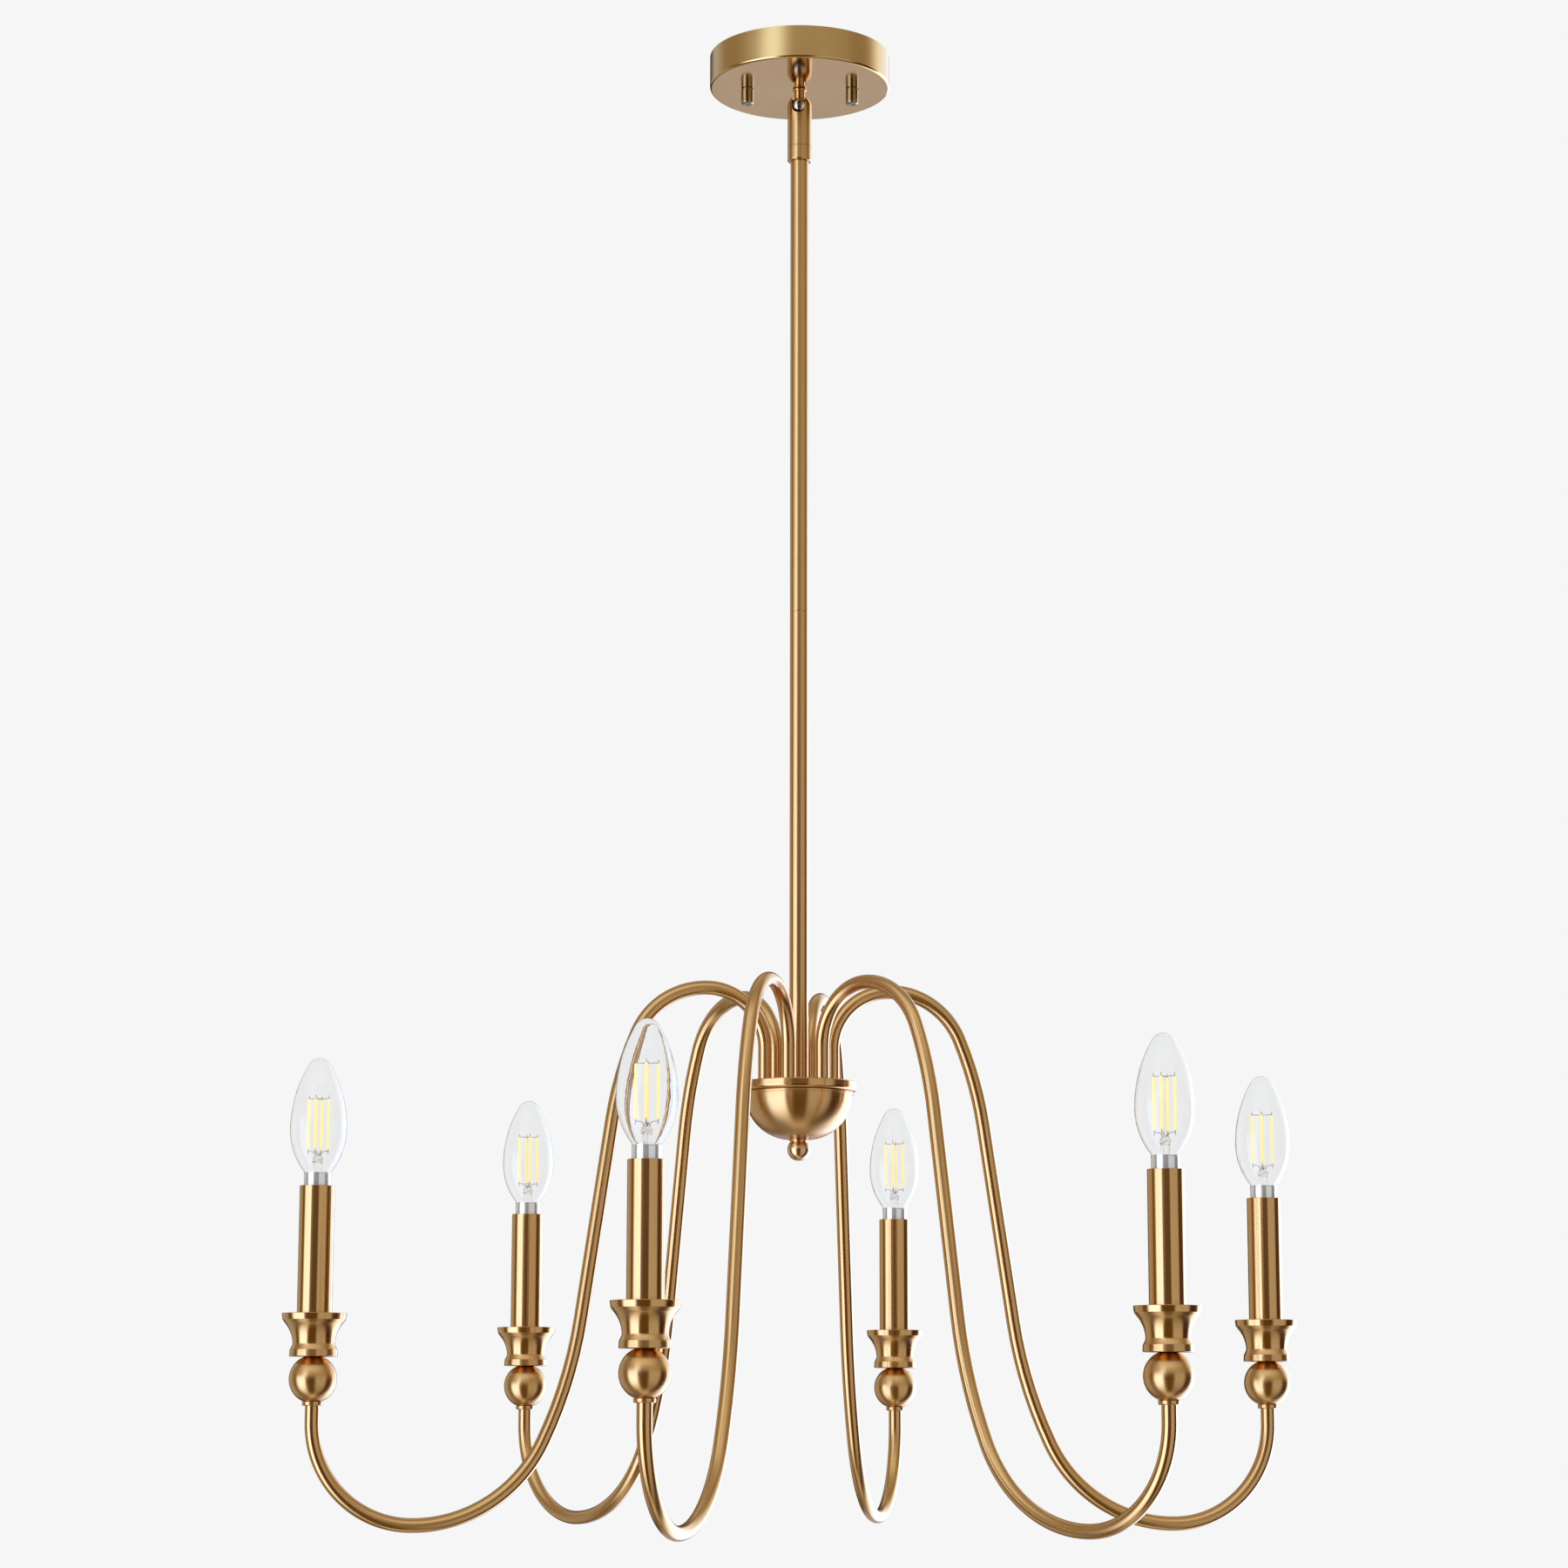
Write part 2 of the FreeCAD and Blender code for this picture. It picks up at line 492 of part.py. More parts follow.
def make_hub_plate():
    """Spun cover with an upright rim and a rolled lower lip."""
    outer = PLATE_DIAMETER / 2
    wall = PLATE_THICKNESS
    top_edge = (outer - PLATE_TOP_EDGE_RADIUS, PLATE_TOP - PLATE_TOP_EDGE_RADIUS)
    lip = (outer - PLATE_LIP_RADIUS, PLATE_LIP + PLATE_LIP_RADIUS)
    opening = PLATE_LIP_OPENING_DIAMETER / 2
    plate = lathe((0, PLATE_TOP - wall), (outer - wall, PLATE_TOP - wall), (outer - wall, lip[1]),
                  rounded(lip, PLATE_LIP_RADIUS - wall, 0, -90), (opening, PLATE_LIP + wall),
                  (opening, PLATE_LIP), (lip[0], PLATE_LIP), rounded(lip, PLATE_LIP_RADIUS, -90, 0),
                  (outer, top_edge[1]), rounded(top_edge, PLATE_TOP_EDGE_RADIUS, 0, 90), (0, PLATE_TOP))
    plate = plate.cut(cylinder(NIPPLE_DIAMETER + 2 * THREAD_CLEARANCE, PLATE_TOP - wall, PLATE_TOP))
    hole = cylinder(ARM_THREAD_DIAMETER + 2 * RUNNING_CLEARANCE, PLATE_TOP - wall, PLATE_TOP)
    for index in range(ARM_COUNT):
        plate = plate.cut(at_stem(hole, index))
    return plate


def make_hub_bowl():
    """Bowl with an arced side, a narrow bead at its rim and a flat for the finial."""
    flat = BOWL_FLAT_DIAMETER / 2
    centre = (flat, BOWL_CENTRE)
    outer = BOWL_SIDE_RADIUS
    inner = BOWL_SIDE_RADIUS - BOWL_WALL
    bead_low = PLATE_LIP - BOWL_BEAD_HEIGHT
    bead = flat + outer + BOWL_BEAD_REACH
    edge = (bead - BOWL_BEAD_RADIUS, bead_low + BOWL_BEAD_RADIUS)
    edge_high = (edge[0], PLATE_LIP - BOWL_BEAD_RADIUS)
    floor = BOWL_SEAT + BOWL_WALL

    def angle_at(radius, height):
        return math.degrees(math.asin((height - BOWL_CENTRE) / radius))

    bowl = lathe((0, floor), (flat, floor), rounded(centre, inner, -90, angle_at(inner, PLATE_LIP)),
                 (edge_high[0], PLATE_LIP), rounded(edge_high, BOWL_BEAD_RADIUS, 90, 0),
                 (bead, edge[1]), rounded(edge, BOWL_BEAD_RADIUS, 0, -90),
                 corner(centre, outer, angle_at(outer, bead_low)),
                 rounded(centre, outer, angle_at(outer, bead_low), -90), (0, BOWL_SEAT))
    return bowl.cut(cylinder(STEM_BOLT_DIAMETER + 2 * THREAD_CLEARANCE, BOWL_SEAT, floor))


def make_hub_stem():
    """Threaded stem from the lower rod through the plate, then a bolt to the finial."""
    tube_low = PLATE_TOP - STEM_TUBE_DROP
    bolt_low = BOWL_SEAT - FINIAL_THREAD_DEPTH + STUD_END_GAP
    floor = tube_low + STEM_END_WALL
    stem = cylinder(NIPPLE_DIAMETER, tube_low, PLATE_TOP + STEM_RISE)
    stem = stem.fuse(cylinder(STEM_BOLT_DIAMETER, bolt_low, tube_low))
    stem = stem.cut(cylinder(NIPPLE_BORE_DIAMETER, floor, PLATE_TOP + STEM_RISE))
    nut_low = PLATE_TOP - PLATE_THICKNESS - CENTRE_NUT_HEIGHT
    wire_hole = Part.makeCylinder(STEM_WIRE_HOLE_DIAMETER / 2, NIPPLE_DIAMETER,
                                  Vector(-NIPPLE_DIAMETER / 2, 0, (nut_low + floor) / 2), Vector(1, 0, 0))
    return stem.cut(wire_hole)


def make_hub_nuts():
    """One nut on the hub stem and one on each arm, all under the plate."""
    high = PLATE_TOP - PLATE_THICKNESS
    nuts = [hex_nut(CENTRE_NUT_ACROSS_FLATS, NIPPLE_DIAMETER + 2 * THREAD_CLEARANCE,
                    high - CENTRE_NUT_HEIGHT, high)]
    arm_nut = hex_nut(ARM_NUT_ACROSS_FLATS, ARM_THREAD_DIAMETER + 2 * RUNNING_CLEARANCE,
                      high - ARM_NUT_HEIGHT, high)
    nuts += [at_stem(arm_nut, index) for index in range(ARM_COUNT)]
    return Part.makeCompound(nuts)


def make_finial():
    """Ball with a flared neck, tapped for the hub stem's bolt."""
    ball = FINIAL_BALL_DIAMETER / 2
    centre = BOWL_SEAT - FINIAL_HEIGHT + ball
    flange = FINIAL_FLANGE_DIAMETER / 2
    neck = FINIAL_NECK_DIAMETER / 2
    meet = centre + math.sqrt(ball ** 2 - neck ** 2)
    flange_low = BOWL_SEAT - FINIAL_FLANGE_HEIGHT
    start_angle = math.degrees(math.acos(neck / ball))
    cove = flare_point((neck, meet), (flange, flange_low), FINIAL_NECK_SAG)
    finial = lathe((0, centre - ball), rounded((0, centre), ball, -90, start_angle),
                   (cove, (flange, flange_low)), (flange, BOWL_SEAT), (0, BOWL_SEAT))
    return finial.cut(cylinder(STEM_BOLT_DIAMETER + 2 * THREAD_CLEARANCE, BOWL_SEAT - FINIAL_THREAD_DEPTH,
                               BOWL_SEAT))


# ---- arms --------------------------------------------------------------------------------
def arm_route():
    """Edges of the arm's centreline in the XZ plane, outwards along +X, and its end.

    It reads like the bending programme of the tube: straight runs and bends that
    follow each other tangentially, from the hub plate up, over and round.
    """
    edges = []
    state = {"point": Vector(0, 0, PLATE_TOP + RUNNING_GAP), "heading": 90.0}

    def run(length):
        turn = math.radians(state["heading"])
        end = state["point"] + Vector(math.cos(turn), 0, math.sin(turn)) * length
        edges.append(Part.makeLine(state["point"], end))
        state["point"] = end

    def bend(radius, angle):
        """Positive angles turn towards +Z, negative ones away from it."""
        side = math.copysign(1.0, angle)
        turn = math.radians(state["heading"])
        centre = state["point"] + Vector(-math.sin(turn), 0, math.cos(turn)) * (side * radius)

        def on_bend(share):
            there = math.radians(state["heading"] + share * angle)
            return centre + Vector(math.sin(there), 0, -math.cos(there)) * (side * radius)

        end = on_bend(1.0)
        edges.append(Part.Arc(state["point"], on_bend(0.5), end).toShape())
        state["point"] = end
        state["heading"] += angle

    run(ARM_STEM_LENGTH)
    bend(CROWN_RADIUS, -90.0)
    bend(BROW_RADIUS, -BROW_ANGLE)
    bend(SHOULDER_RADIUS, -SHOULDER_ANGLE)
    run(LIMB_LENGTH)
    bend(KNEE_RADIUS, KNEE_ANGLE)
    bend(HEEL_RADIUS, HEEL_ANGLE)
    bend(TOE_RADIUS, 90.0 - state["heading"])
    collar_low = Vector(state["point"])
    collar_low.z += ARM_TIP_LENGTH
    run(ARM_TIP_LENGTH + ARM_TIP_INSERT)
    return edges, collar_low


def make_arm(edges):
    """Bent tube with a threaded foot that passes through the hub plate."""
    start = edges[0].Vertexes[0].Point
    axis = Vector(0, 0, 1)
    outline = Part.Wire(Part.makeCircle(ARM_DIAMETER / 2, start, axis))
    bore = Part.Wire(Part.makeCircle(ARM_DIAMETER / 2 - ARM_WALL, start, axis))
    route = Part.Wire(edges)
    outer = route.makePipeShell([outline], True, False)
    inner = route.makePipeShell([bore], True, False)
    foot = tube(ARM_THREAD_DIAMETER, ARM_DIAMETER - 2 * ARM_WALL, start.z - ARM_THREAD_LENGTH, start.z)
    return outer.cut(inner).fuse(foot)


# ---- candle, drawn with Z = 0 at the collar's underside ---------------------------------------
def make_ball():
    """Ball with a flat top, a beaded collar below, and a stepped bore."""
    radius = BALL_DIAMETER / 2
    flat = math.sqrt(radius ** 2 - BALL_TOP_HEIGHT ** 2)
    foot = math.sqrt(radius ** 2 - BALL_BOTTOM_DEPTH ** 2)
    start_angle = math.degrees(math.asin(-BALL_BOTTOM_DEPTH / radius))
    end_angle = math.degrees(math.asin(BALL_TOP_HEIGHT / radius))
    collar = COLLAR_DIAMETER / 2
    edge = COLLAR_EDGE_RADIUS
    ball = lathe((0, 0), (collar - edge, 0), rounded((collar - edge, edge), edge, -90, 0),
                 (collar, COLLAR_HEIGHT - edge), rounded((collar - edge, COLLAR_HEIGHT - edge), edge, 0, 90),
                 (foot, COLLAR_HEIGHT), rounded((0, BALL_CENTRE), radius, start_angle, end_angle),
                 (0, CUP_LOW))
    arm_hole = cylinder(ARM_DIAMETER + 2 * THREAD_CLEARANCE, 0, ARM_TIP_INSERT)
    wire_hole = cylinder(HOLDER_STEM_BORE_DIAMETER, ARM_TIP_INSERT, CUP_LOW - HOLDER_STEM_INSERT)
    stem_hole = cylinder(HOLDER_STEM_DIAMETER + 2 * THREAD_CLEARANCE, CUP_LOW - HOLDER_STEM_INSERT, CUP_LOW)
    return ball.cut(arm_hole).cut(wire_hole).cut(stem_hole)


def make_cup():
    """Flared wax cup: foot band, sloped shoulder, waist, concave flare and a rim band."""
    rim = CUP_RIM_DIAMETER / 2
    rim_top = CUP_LOW + CUP_HEIGHT
    band_low = (rim - CUP_RIM_TAPER, rim_top - CUP_RIM_HEIGHT)
    flare_high = (band_low[0] - CUP_LEDGE_REACH, band_low[1] - CUP_LEDGE_HEIGHT)
    waist = (CUP_WAIST_DIAMETER / 2, CUP_LOW + CUP_WAIST_HEIGHT)
    foot = CUP_FOOT_DIAMETER / 2
    foot_high = (foot - CUP_FOOT_TAPER, CUP_LOW + CUP_FOOT_HEIGHT)
    edge = (foot - CUP_FOOT_EDGE_RADIUS, CUP_LOW + CUP_FOOT_EDGE_RADIUS)
    floor = SLEEVE_LOW
    inner_high = (flare_high[0] - CUP_WALL, flare_high[1])
    inner_low = (waist[0] - CUP_WALL, waist[1])
    cup = lathe((0, CUP_LOW), (edge[0], CUP_LOW), rounded(edge, CUP_FOOT_EDGE_RADIUS, -90, 0),
                foot_high, (flare_point(foot_high, waist, CUP_SHOULDER_SAG), waist),
                (flare_point(waist, flare_high, CUP_FLARE_SAG), flare_high), band_low, (rim, rim_top),
                (rim - CUP_WALL, rim_top), (band_low[0] - CUP_WALL, band_low[1]), inner_high,
                (flare_point(inner_low, inner_high, CUP_FLARE_SAG), inner_low), (inner_low[0], floor),
                (0, floor))
    return cup.cut(cylinder(HOLDER_STEM_DIAMETER + 2 * THREAD_CLEARANCE, CUP_LOW, floor))


def make_sleeve():
    """Candle sleeve that stands in the cup around the lampholder."""
    return tube(SLEEVE_DIAMETER, SLEEVE_BORE_DIAMETER, SLEEVE_LOW, SLEEVE_TOP)


def make_lampholder():
    """Lampholder on a threaded stem whose flange clamps the cup to the ball."""
    body_low = HOLDER_TOP - HOLDER_LENGTH
    shell_low = HOLDER_TOP - HOLDER_SHELL_DEPTH
    body = cylinder(HOLDER_DIAMETER, body_low, HOLDER_TOP)
    stem = cylinder(HOLDER_STEM_DIAMETER, CUP_LOW - HOLDER_STEM_INSERT, body_low)
    flange = cylinder(HOLDER_FLANGE_DIAMETER, SLEEVE_LOW, SLEEVE_LOW + HOLDER_FLANGE_HEIGHT)
    holder = body.fuse(stem).fuse(flange).removeSplitter()
    holder = holder.cut(cylinder(CAP_THREAD_DIAMETER + 2 * THREAD_CLEARANCE, shell_low, HOLDER_TOP))
    return holder.cut(cylinder(HOLDER_STEM_BORE_DIAMETER, CUP_LOW - HOLDER_STEM_INSERT, shell_low))


# ---- bulb, in the candle's own heights --------------------------------------------------------
def glass_outline(inset):
    """Bulb outline points for one surface of the glass, inset from the outside."""
    belly = GLASS_DIAMETER / 2
    neck = GLASS_NECK_DIAMETER / 2
    rise = GLASS_BELLY_HEIGHT
    lower = ((belly - neck) ** 2 + rise ** 2) / (2 * (belly - neck))
    upper = GLASS_UPPER_RADIUS
    above = GLASS_HEIGHT - rise
    tip = (upper ** 2 - (upper - belly) ** 2 - above ** 2) / (2 * (upper - above))
    belly_z = SKIRT_TOP + rise
    lower_centre = (belly - lower, belly_z)
    upper_centre = (belly - upper, belly_z)
    tip_centre = (0, SKIRT_TOP + GLASS_HEIGHT - tip)
    tilt = math.degrees(math.atan2(tip_centre[1] - belly_z, -upper_centre[0]))
    bottom = math.degrees(math.asin(-rise / lower))
    return [(neck - inset, SKIRT_TOP - GLASS_NECK_INSERT), corner(lower_centre, lower - inset, bottom),
            rounded(lower_centre, lower - inset, bottom, 0),
            rounded(upper_centre, upper - inset, 0, tilt),
            rounded(tip_centre, tip - inset, tilt, 90)]


def make_bulb_glass():
    """Thin candle-shaped glass envelope, open at the neck."""
    outer = glass_outline(0.0)
    inner = glass_outline(GLASS_WALL)
    base = outer[0][1]
    envelope = lathe((0, base), *outer)
    hollow = lathe((0, base), *inner)
    return envelope.cut(hollow)


def make_bulb_base():
    """Nickel screw cap with the glass mount and its upright filaments."""
    skirt = CAP_SKIRT_DIAMETER / 2
    well = skirt - CAP_SKIRT_WALL
    thread = CAP_THREAD_DIAMETER / 2
    thread_low = SKIRT_LOW - CAP_THREAD_LENGTH
    floor = SKIRT_TOP - GLASS_NECK_INSERT
    contact = CAP_CONTACT_DIAMETER / 2
    cap = lathe((0, thread_low - CAP_CONTACT_HEIGHT), (contact, thread_low - CAP_CONTACT_HEIGHT),
                (contact + CAP_INSULATOR_FLARE, thread_low), (thread - CAP_THREAD_END_STEP, thread_low),
                (thread, thread_low + CAP_THREAD_END_HEIGHT),
                (thread, SKIRT_LOW), (skirt, SKIRT_LOW), (skirt, SKIRT_TOP), (well, SKIRT_TOP),
                (well, floor), (0, floor))
    foot = SKIRT_TOP + FILAMENT_FOOT_HEIGHT
    head = foot + FILAMENT_LENGTH
    ring = FILAMENT_CIRCLE_DIAMETER / 2
    flare = MOUNT_STEM_DIAMETER / 2
    stem = lathe((0, floor), (flare, floor), (flare, SKIRT_TOP + MOUNT_STEM_HEIGHT - flare),
                 (MOUNT_ROD_DIAMETER / 2, SKIRT_TOP + MOUNT_STEM_HEIGHT), (MOUNT_ROD_DIAMETER / 2, head),
                 (0, head))
    directions = []
    for index in range(FILAMENT_COUNT):
        turn = math.radians(360 * index / FILAMENT_COUNT)
        directions.append(Vector(math.cos(turn), math.sin(turn), 0))
    reach = ring + FILAMENT_DIAMETER / 2 + MOUNT_WIRE_TAIL
    for direction in directions:
        for level in (foot + MOUNT_WIRE_INSET, head - MOUNT_WIRE_INSET):
            wire = Part.makeCylinder(MOUNT_WIRE_DIAMETER / 2, reach, Vector(0, 0, level), direction)
            stem = stem.fuse(wire)
    filament = cylinder(FILAMENT_DIAMETER, foot, head)
    filaments = [moved(filament, x=ring * direction.x, y=ring * direction.y).cut(stem)
                 for direction in directions]
    return Part.makeCompound([cap, stem] + filaments)


# ---- assembly --------------------------------------------------------------------------------
def export(name, shape):
    """Write one node."""
    shape.exportStep("parts/" + name + ".step")


def main():
    """Build every node and write it."""
    os.makedirs("parts", exist_ok=True)
    export("mounting_bar", make_mounting_bar())
    export("ground_screw", make_ground_screw())
    export("mounting_studs", make_mounting_studs())
    export("canopy", make_canopy())
    export("cap_nuts", make_cap_nuts())
    export("swivel_neck", make_swivel_neck())
    export("neck_nut", make_neck_nut())
    export("swivel_housing", make_swivel_housing())
    export("trunnions", make_trunnions())
    export("rod_coupler", make_rod_coupler())
    export("upper_rod", make_rod(UPPER_ROD_TOP))
    export("lower_rod", make_rod(LOWER_ROD_TOP))
    export("rod_nipples", make_rod_nipples())
    export("hub_plate", make_hub_plate())
    export("hub_stem", make_hub_stem())
    export("hub_nuts", make_hub_nuts())
    export("hub_bowl", make_hub_bowl())
    export("finial", make_finial())

    edges, collar_low = arm_route()
    arm = make_arm(edges)
    candle = {"ball": make_ball(), "cup": make_cup(), "sleeve": make_sleeve(),
              "lampholder": make_lampholder(), "bulb_base": make_bulb_base(),
              "bulb_glass": make_bulb_glass()}
    for index in range(ARM_COUNT):
        # The arm is drawn outwards along +X; azimuth 0 is -Y.
        swing = ARM_SET_ANGLES[index % len(ARM_SET_ANGLES)] - 90.0
        number = str(index + 1)
        export("arm_" + number, at_stem(turned_about_z(arm, swing), index))
        for name, shape in candle.items():
            spun = turned_about_z(shape, bulb_turn(index)) if name == "bulb_base" else shape
            upright = moved(spun, x=collar_low.x, z=collar_low.z)
            export(name + "_" + number, at_stem(turned_about_z(upright, swing), index))


main()
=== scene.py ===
"""Looks of the multi arm chandelier: satin brass tubes, brass and chrome swivel, clear bulbs.

Metres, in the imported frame: +Z is up and the origin lies on the ceiling plane.
"""

import json
import logging
import math
from dataclasses import dataclass, field
from enum import Enum

import bmesh
import bpy
from mathutils import Matrix, Vector

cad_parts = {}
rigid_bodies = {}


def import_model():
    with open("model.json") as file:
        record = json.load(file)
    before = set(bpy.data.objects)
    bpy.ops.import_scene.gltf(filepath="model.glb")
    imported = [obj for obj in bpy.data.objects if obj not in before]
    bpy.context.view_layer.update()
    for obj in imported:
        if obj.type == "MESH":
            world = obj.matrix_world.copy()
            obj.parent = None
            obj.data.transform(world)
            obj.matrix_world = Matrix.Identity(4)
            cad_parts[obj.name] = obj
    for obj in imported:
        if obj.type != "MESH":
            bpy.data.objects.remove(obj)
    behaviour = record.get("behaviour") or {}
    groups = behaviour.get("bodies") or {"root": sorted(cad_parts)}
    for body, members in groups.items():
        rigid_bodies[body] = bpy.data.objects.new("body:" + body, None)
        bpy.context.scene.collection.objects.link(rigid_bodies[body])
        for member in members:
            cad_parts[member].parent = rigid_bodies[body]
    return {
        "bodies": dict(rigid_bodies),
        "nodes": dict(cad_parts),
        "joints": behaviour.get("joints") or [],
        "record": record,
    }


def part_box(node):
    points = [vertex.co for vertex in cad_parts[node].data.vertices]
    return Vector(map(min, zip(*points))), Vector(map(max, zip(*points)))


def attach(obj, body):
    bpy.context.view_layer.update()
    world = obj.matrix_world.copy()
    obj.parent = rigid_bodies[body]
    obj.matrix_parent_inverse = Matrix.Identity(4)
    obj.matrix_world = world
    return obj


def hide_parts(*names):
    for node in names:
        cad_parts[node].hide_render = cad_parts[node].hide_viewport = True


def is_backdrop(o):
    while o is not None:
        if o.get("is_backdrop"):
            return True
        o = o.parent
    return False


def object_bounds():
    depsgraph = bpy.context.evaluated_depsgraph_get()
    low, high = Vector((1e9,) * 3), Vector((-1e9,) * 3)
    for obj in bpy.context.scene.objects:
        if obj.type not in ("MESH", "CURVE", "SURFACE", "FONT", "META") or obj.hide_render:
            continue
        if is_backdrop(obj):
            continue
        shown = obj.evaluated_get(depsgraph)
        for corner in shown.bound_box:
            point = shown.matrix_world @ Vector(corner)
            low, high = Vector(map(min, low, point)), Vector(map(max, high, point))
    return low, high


Colour = tuple[float, float, float]
Point = tuple[float, float]
Node = bpy.types.Node
Socket = bpy.types.NodeSocket
Material = bpy.types.Material
Piece = bpy.types.Object

log = logging.getLogger("chandelier")

MAP_NAME = "round_and_along"
MM = 0.001
TINY = 1e-7

# Edges of turned pieces, and how fillets are worked in: degrees to a step, and the share of
# a straight that one may use up.
FINE_EDGE = 0.15 * MM
SMALL_EDGE = 0.2 * MM
SOFT_EDGE = 0.3 * MM
FILLET_STEP = 18.0
FILLET_REACH = 0.48
CREASE = 40.0

# Numbers of sides round turned and swept pieces.
CANOPY_SIDES = 240
BOWL_SIDES = 144
ROUND_SIDES = 96
NUT_SIDES = 64
SMALL_SIDES = 48
TUBE_SIDES = 40
FILAMENT_SIDES = 20
WIRE_SIDES = 10

# Full depths of a material's relief, and the range that a noise's values mostly keep to.
FINE_RELIEF = 0.04 * MM
RELIEF = 0.05 * MM
COARSE_RELIEF = 0.1 * MM
NOISE_LOW = 0.3
NOISE_HIGH = 0.7
NARROW_NOISE = (0.35, 0.65)


# ---- outlines and meshes -----------------------------------------------------------------


def lift(height: float) -> Vector:
    """Upright step of a height."""
    return Vector((0, 0, height))


def compass(angle: float) -> Vector:
    """Flat direction at an angle in degrees."""
    return Vector((math.cos(math.radians(angle)), math.sin(math.radians(angle))))


def rise_angle(radius: float, rise: float) -> float:
    """Angle in degrees at which a circle reaches a height above its centre."""
    return math.degrees(math.asin(rise / radius))


@dataclass
class Outline:
    """Closed section of a turned piece, as (radius, height, fillet) corners about its axis."""

    corners: list[tuple[float, float, float]] = field(default_factory=list)

    def to(self, radius: float, height: float, fillet: float = 0.0) -> "Outline":
        """Go straight to a corner, to be rounded by a fillet."""
        self.corners.append((radius, height, fillet))
        return self

    def arc(self, centre: Point, radius: float, start: float, end: float, steps: int) -> "Outline":
        """Follow part of a circle.

        Args:
            centre: Circle's centre, as radius and height.
            radius: Circle's radius.
            start: First angle in degrees, from the outward direction.
            end: Last angle in degrees.
            steps: Number of straight pieces.

        Returns:
            The outline, so that calls chain.
        """
        for step in range(steps + 1):
            turn = math.radians(start + (end - start) * step / steps)
            self.to(centre[0] + radius * math.cos(turn), centre[1] + radius * math.sin(turn))
        return self

    def bow(self, radius: float, height: float, sag: float, steps: int) -> "Outline":
        """Go to a corner along a shallow arc that bows towards the axis.

        Args:
            radius: Corner's distance from the axis.
            height: Corner's height.
            sag: Depth of the bow at its middle; a negative one bows outwards.
            steps: Number of straight pieces.

        Returns:
            The outline, so that calls chain.
        """
        low = self.corners[-1]
        across = (radius - low[0], height - low[1])
        length = math.hypot(*across)
        for step in range(1, steps + 1):
            share = step / steps
            depth = 4 * sag * share * (1 - share) / length
            out = low[0] + across[0] * share - depth * across[1]
            self.to(out, low[1] + across[1] * share + depth * across[0])
        return self

    def points(self) -> list[Point]:
        """Corners with their fillets worked in.

        Returns:
            The closed section as (radius, height) points, each apart from the last.
        """
        made: list[Point] = []
        count = len(self.corners)
        for index, (radius, height, fillet) in enumerate(self.corners):
            here = Vector((radius, height))
            before = Vector(self.corners[index - 1][:2]) - here
            after = Vector(self.corners[(index + 1) % count][:2]) - here
            if fillet <= 0 or min(before.length, after.length) < TINY:
                made.append((radius, height))
                continue
            before_way, after_way = before.normalized(), after.normalized()
            half = before_way.angle(after_way, math.pi) / 2
            room = FILLET_REACH * min(before.length, after.length)
            reach = min(fillet / math.tan(half), room)
            fillet = reach * math.tan(half)
            middle = here + (before_way + after_way).normalized() * (fillet / math.sin(half))
            first = here + before_way * reach - middle
            last = here + after_way * reach - middle
            steps = max(2, math.ceil(math.degrees(math.pi - 2 * half) / FILLET_STEP))
            for step in range(steps + 1):
                way = first.lerp(last, step / steps).normalized() * fillet
                made.append(tuple(middle + way))
        tidy = made[:1]
        for point in made[1:]:
            if math.dist(point, tidy[-1]) > TINY:
                tidy.append(point)
        return tidy


def make_piece(
    name: str, vertices: list[Vector], faces: list[tuple[int, ...]], maps: list[list[Point]]
) -> Piece:
    """Turn lists into an object with clean shading and a map along and round the piece.

    Args:
        name: Piece's name.
        vertices: Corner positions.
        faces: Corner numbers of each face.
        maps: Map positions of each face's corners.

    Returns:
        The object, linked to the scene.
    """
    mesh = bpy.data.meshes.new(name)
    mesh.from_pydata([tuple(v) for v in vertices], [], faces)
    layer = mesh.uv_layers.new(name=MAP_NAME)
    layer.data.foreach_set("uv", [value for face in maps for point in face for value in point])
    work = bmesh.new()
    work.from_mesh(mesh)
    bmesh.ops.recalc_face_normals(work, faces=work.faces)
    work.to_mesh(mesh)
    work.free()
    piece = link(bpy.data.objects.new(name, mesh))
    even_out(piece)
    return piece


def link(piece: Piece) -> Piece:
    """Put a new object in the scene."""
    bpy.context.scene.collection.objects.link(piece)
    return piece


def even_out(piece: Piece) -> None:
    """Shade a piece smooth, but for its sharp edges, with flat faces kept flat.

    Args:
        piece: Piece to shade.
    """
    piece.data.shade_smooth()
    piece.data.set_sharp_from_angle(angle=math.radians(CREASE))
    weigh = piece.modifiers.new("even_faces", "WEIGHTED_NORMAL")
    weigh.keep_sharp = True
    weigh.mode = "FACE_AREA"


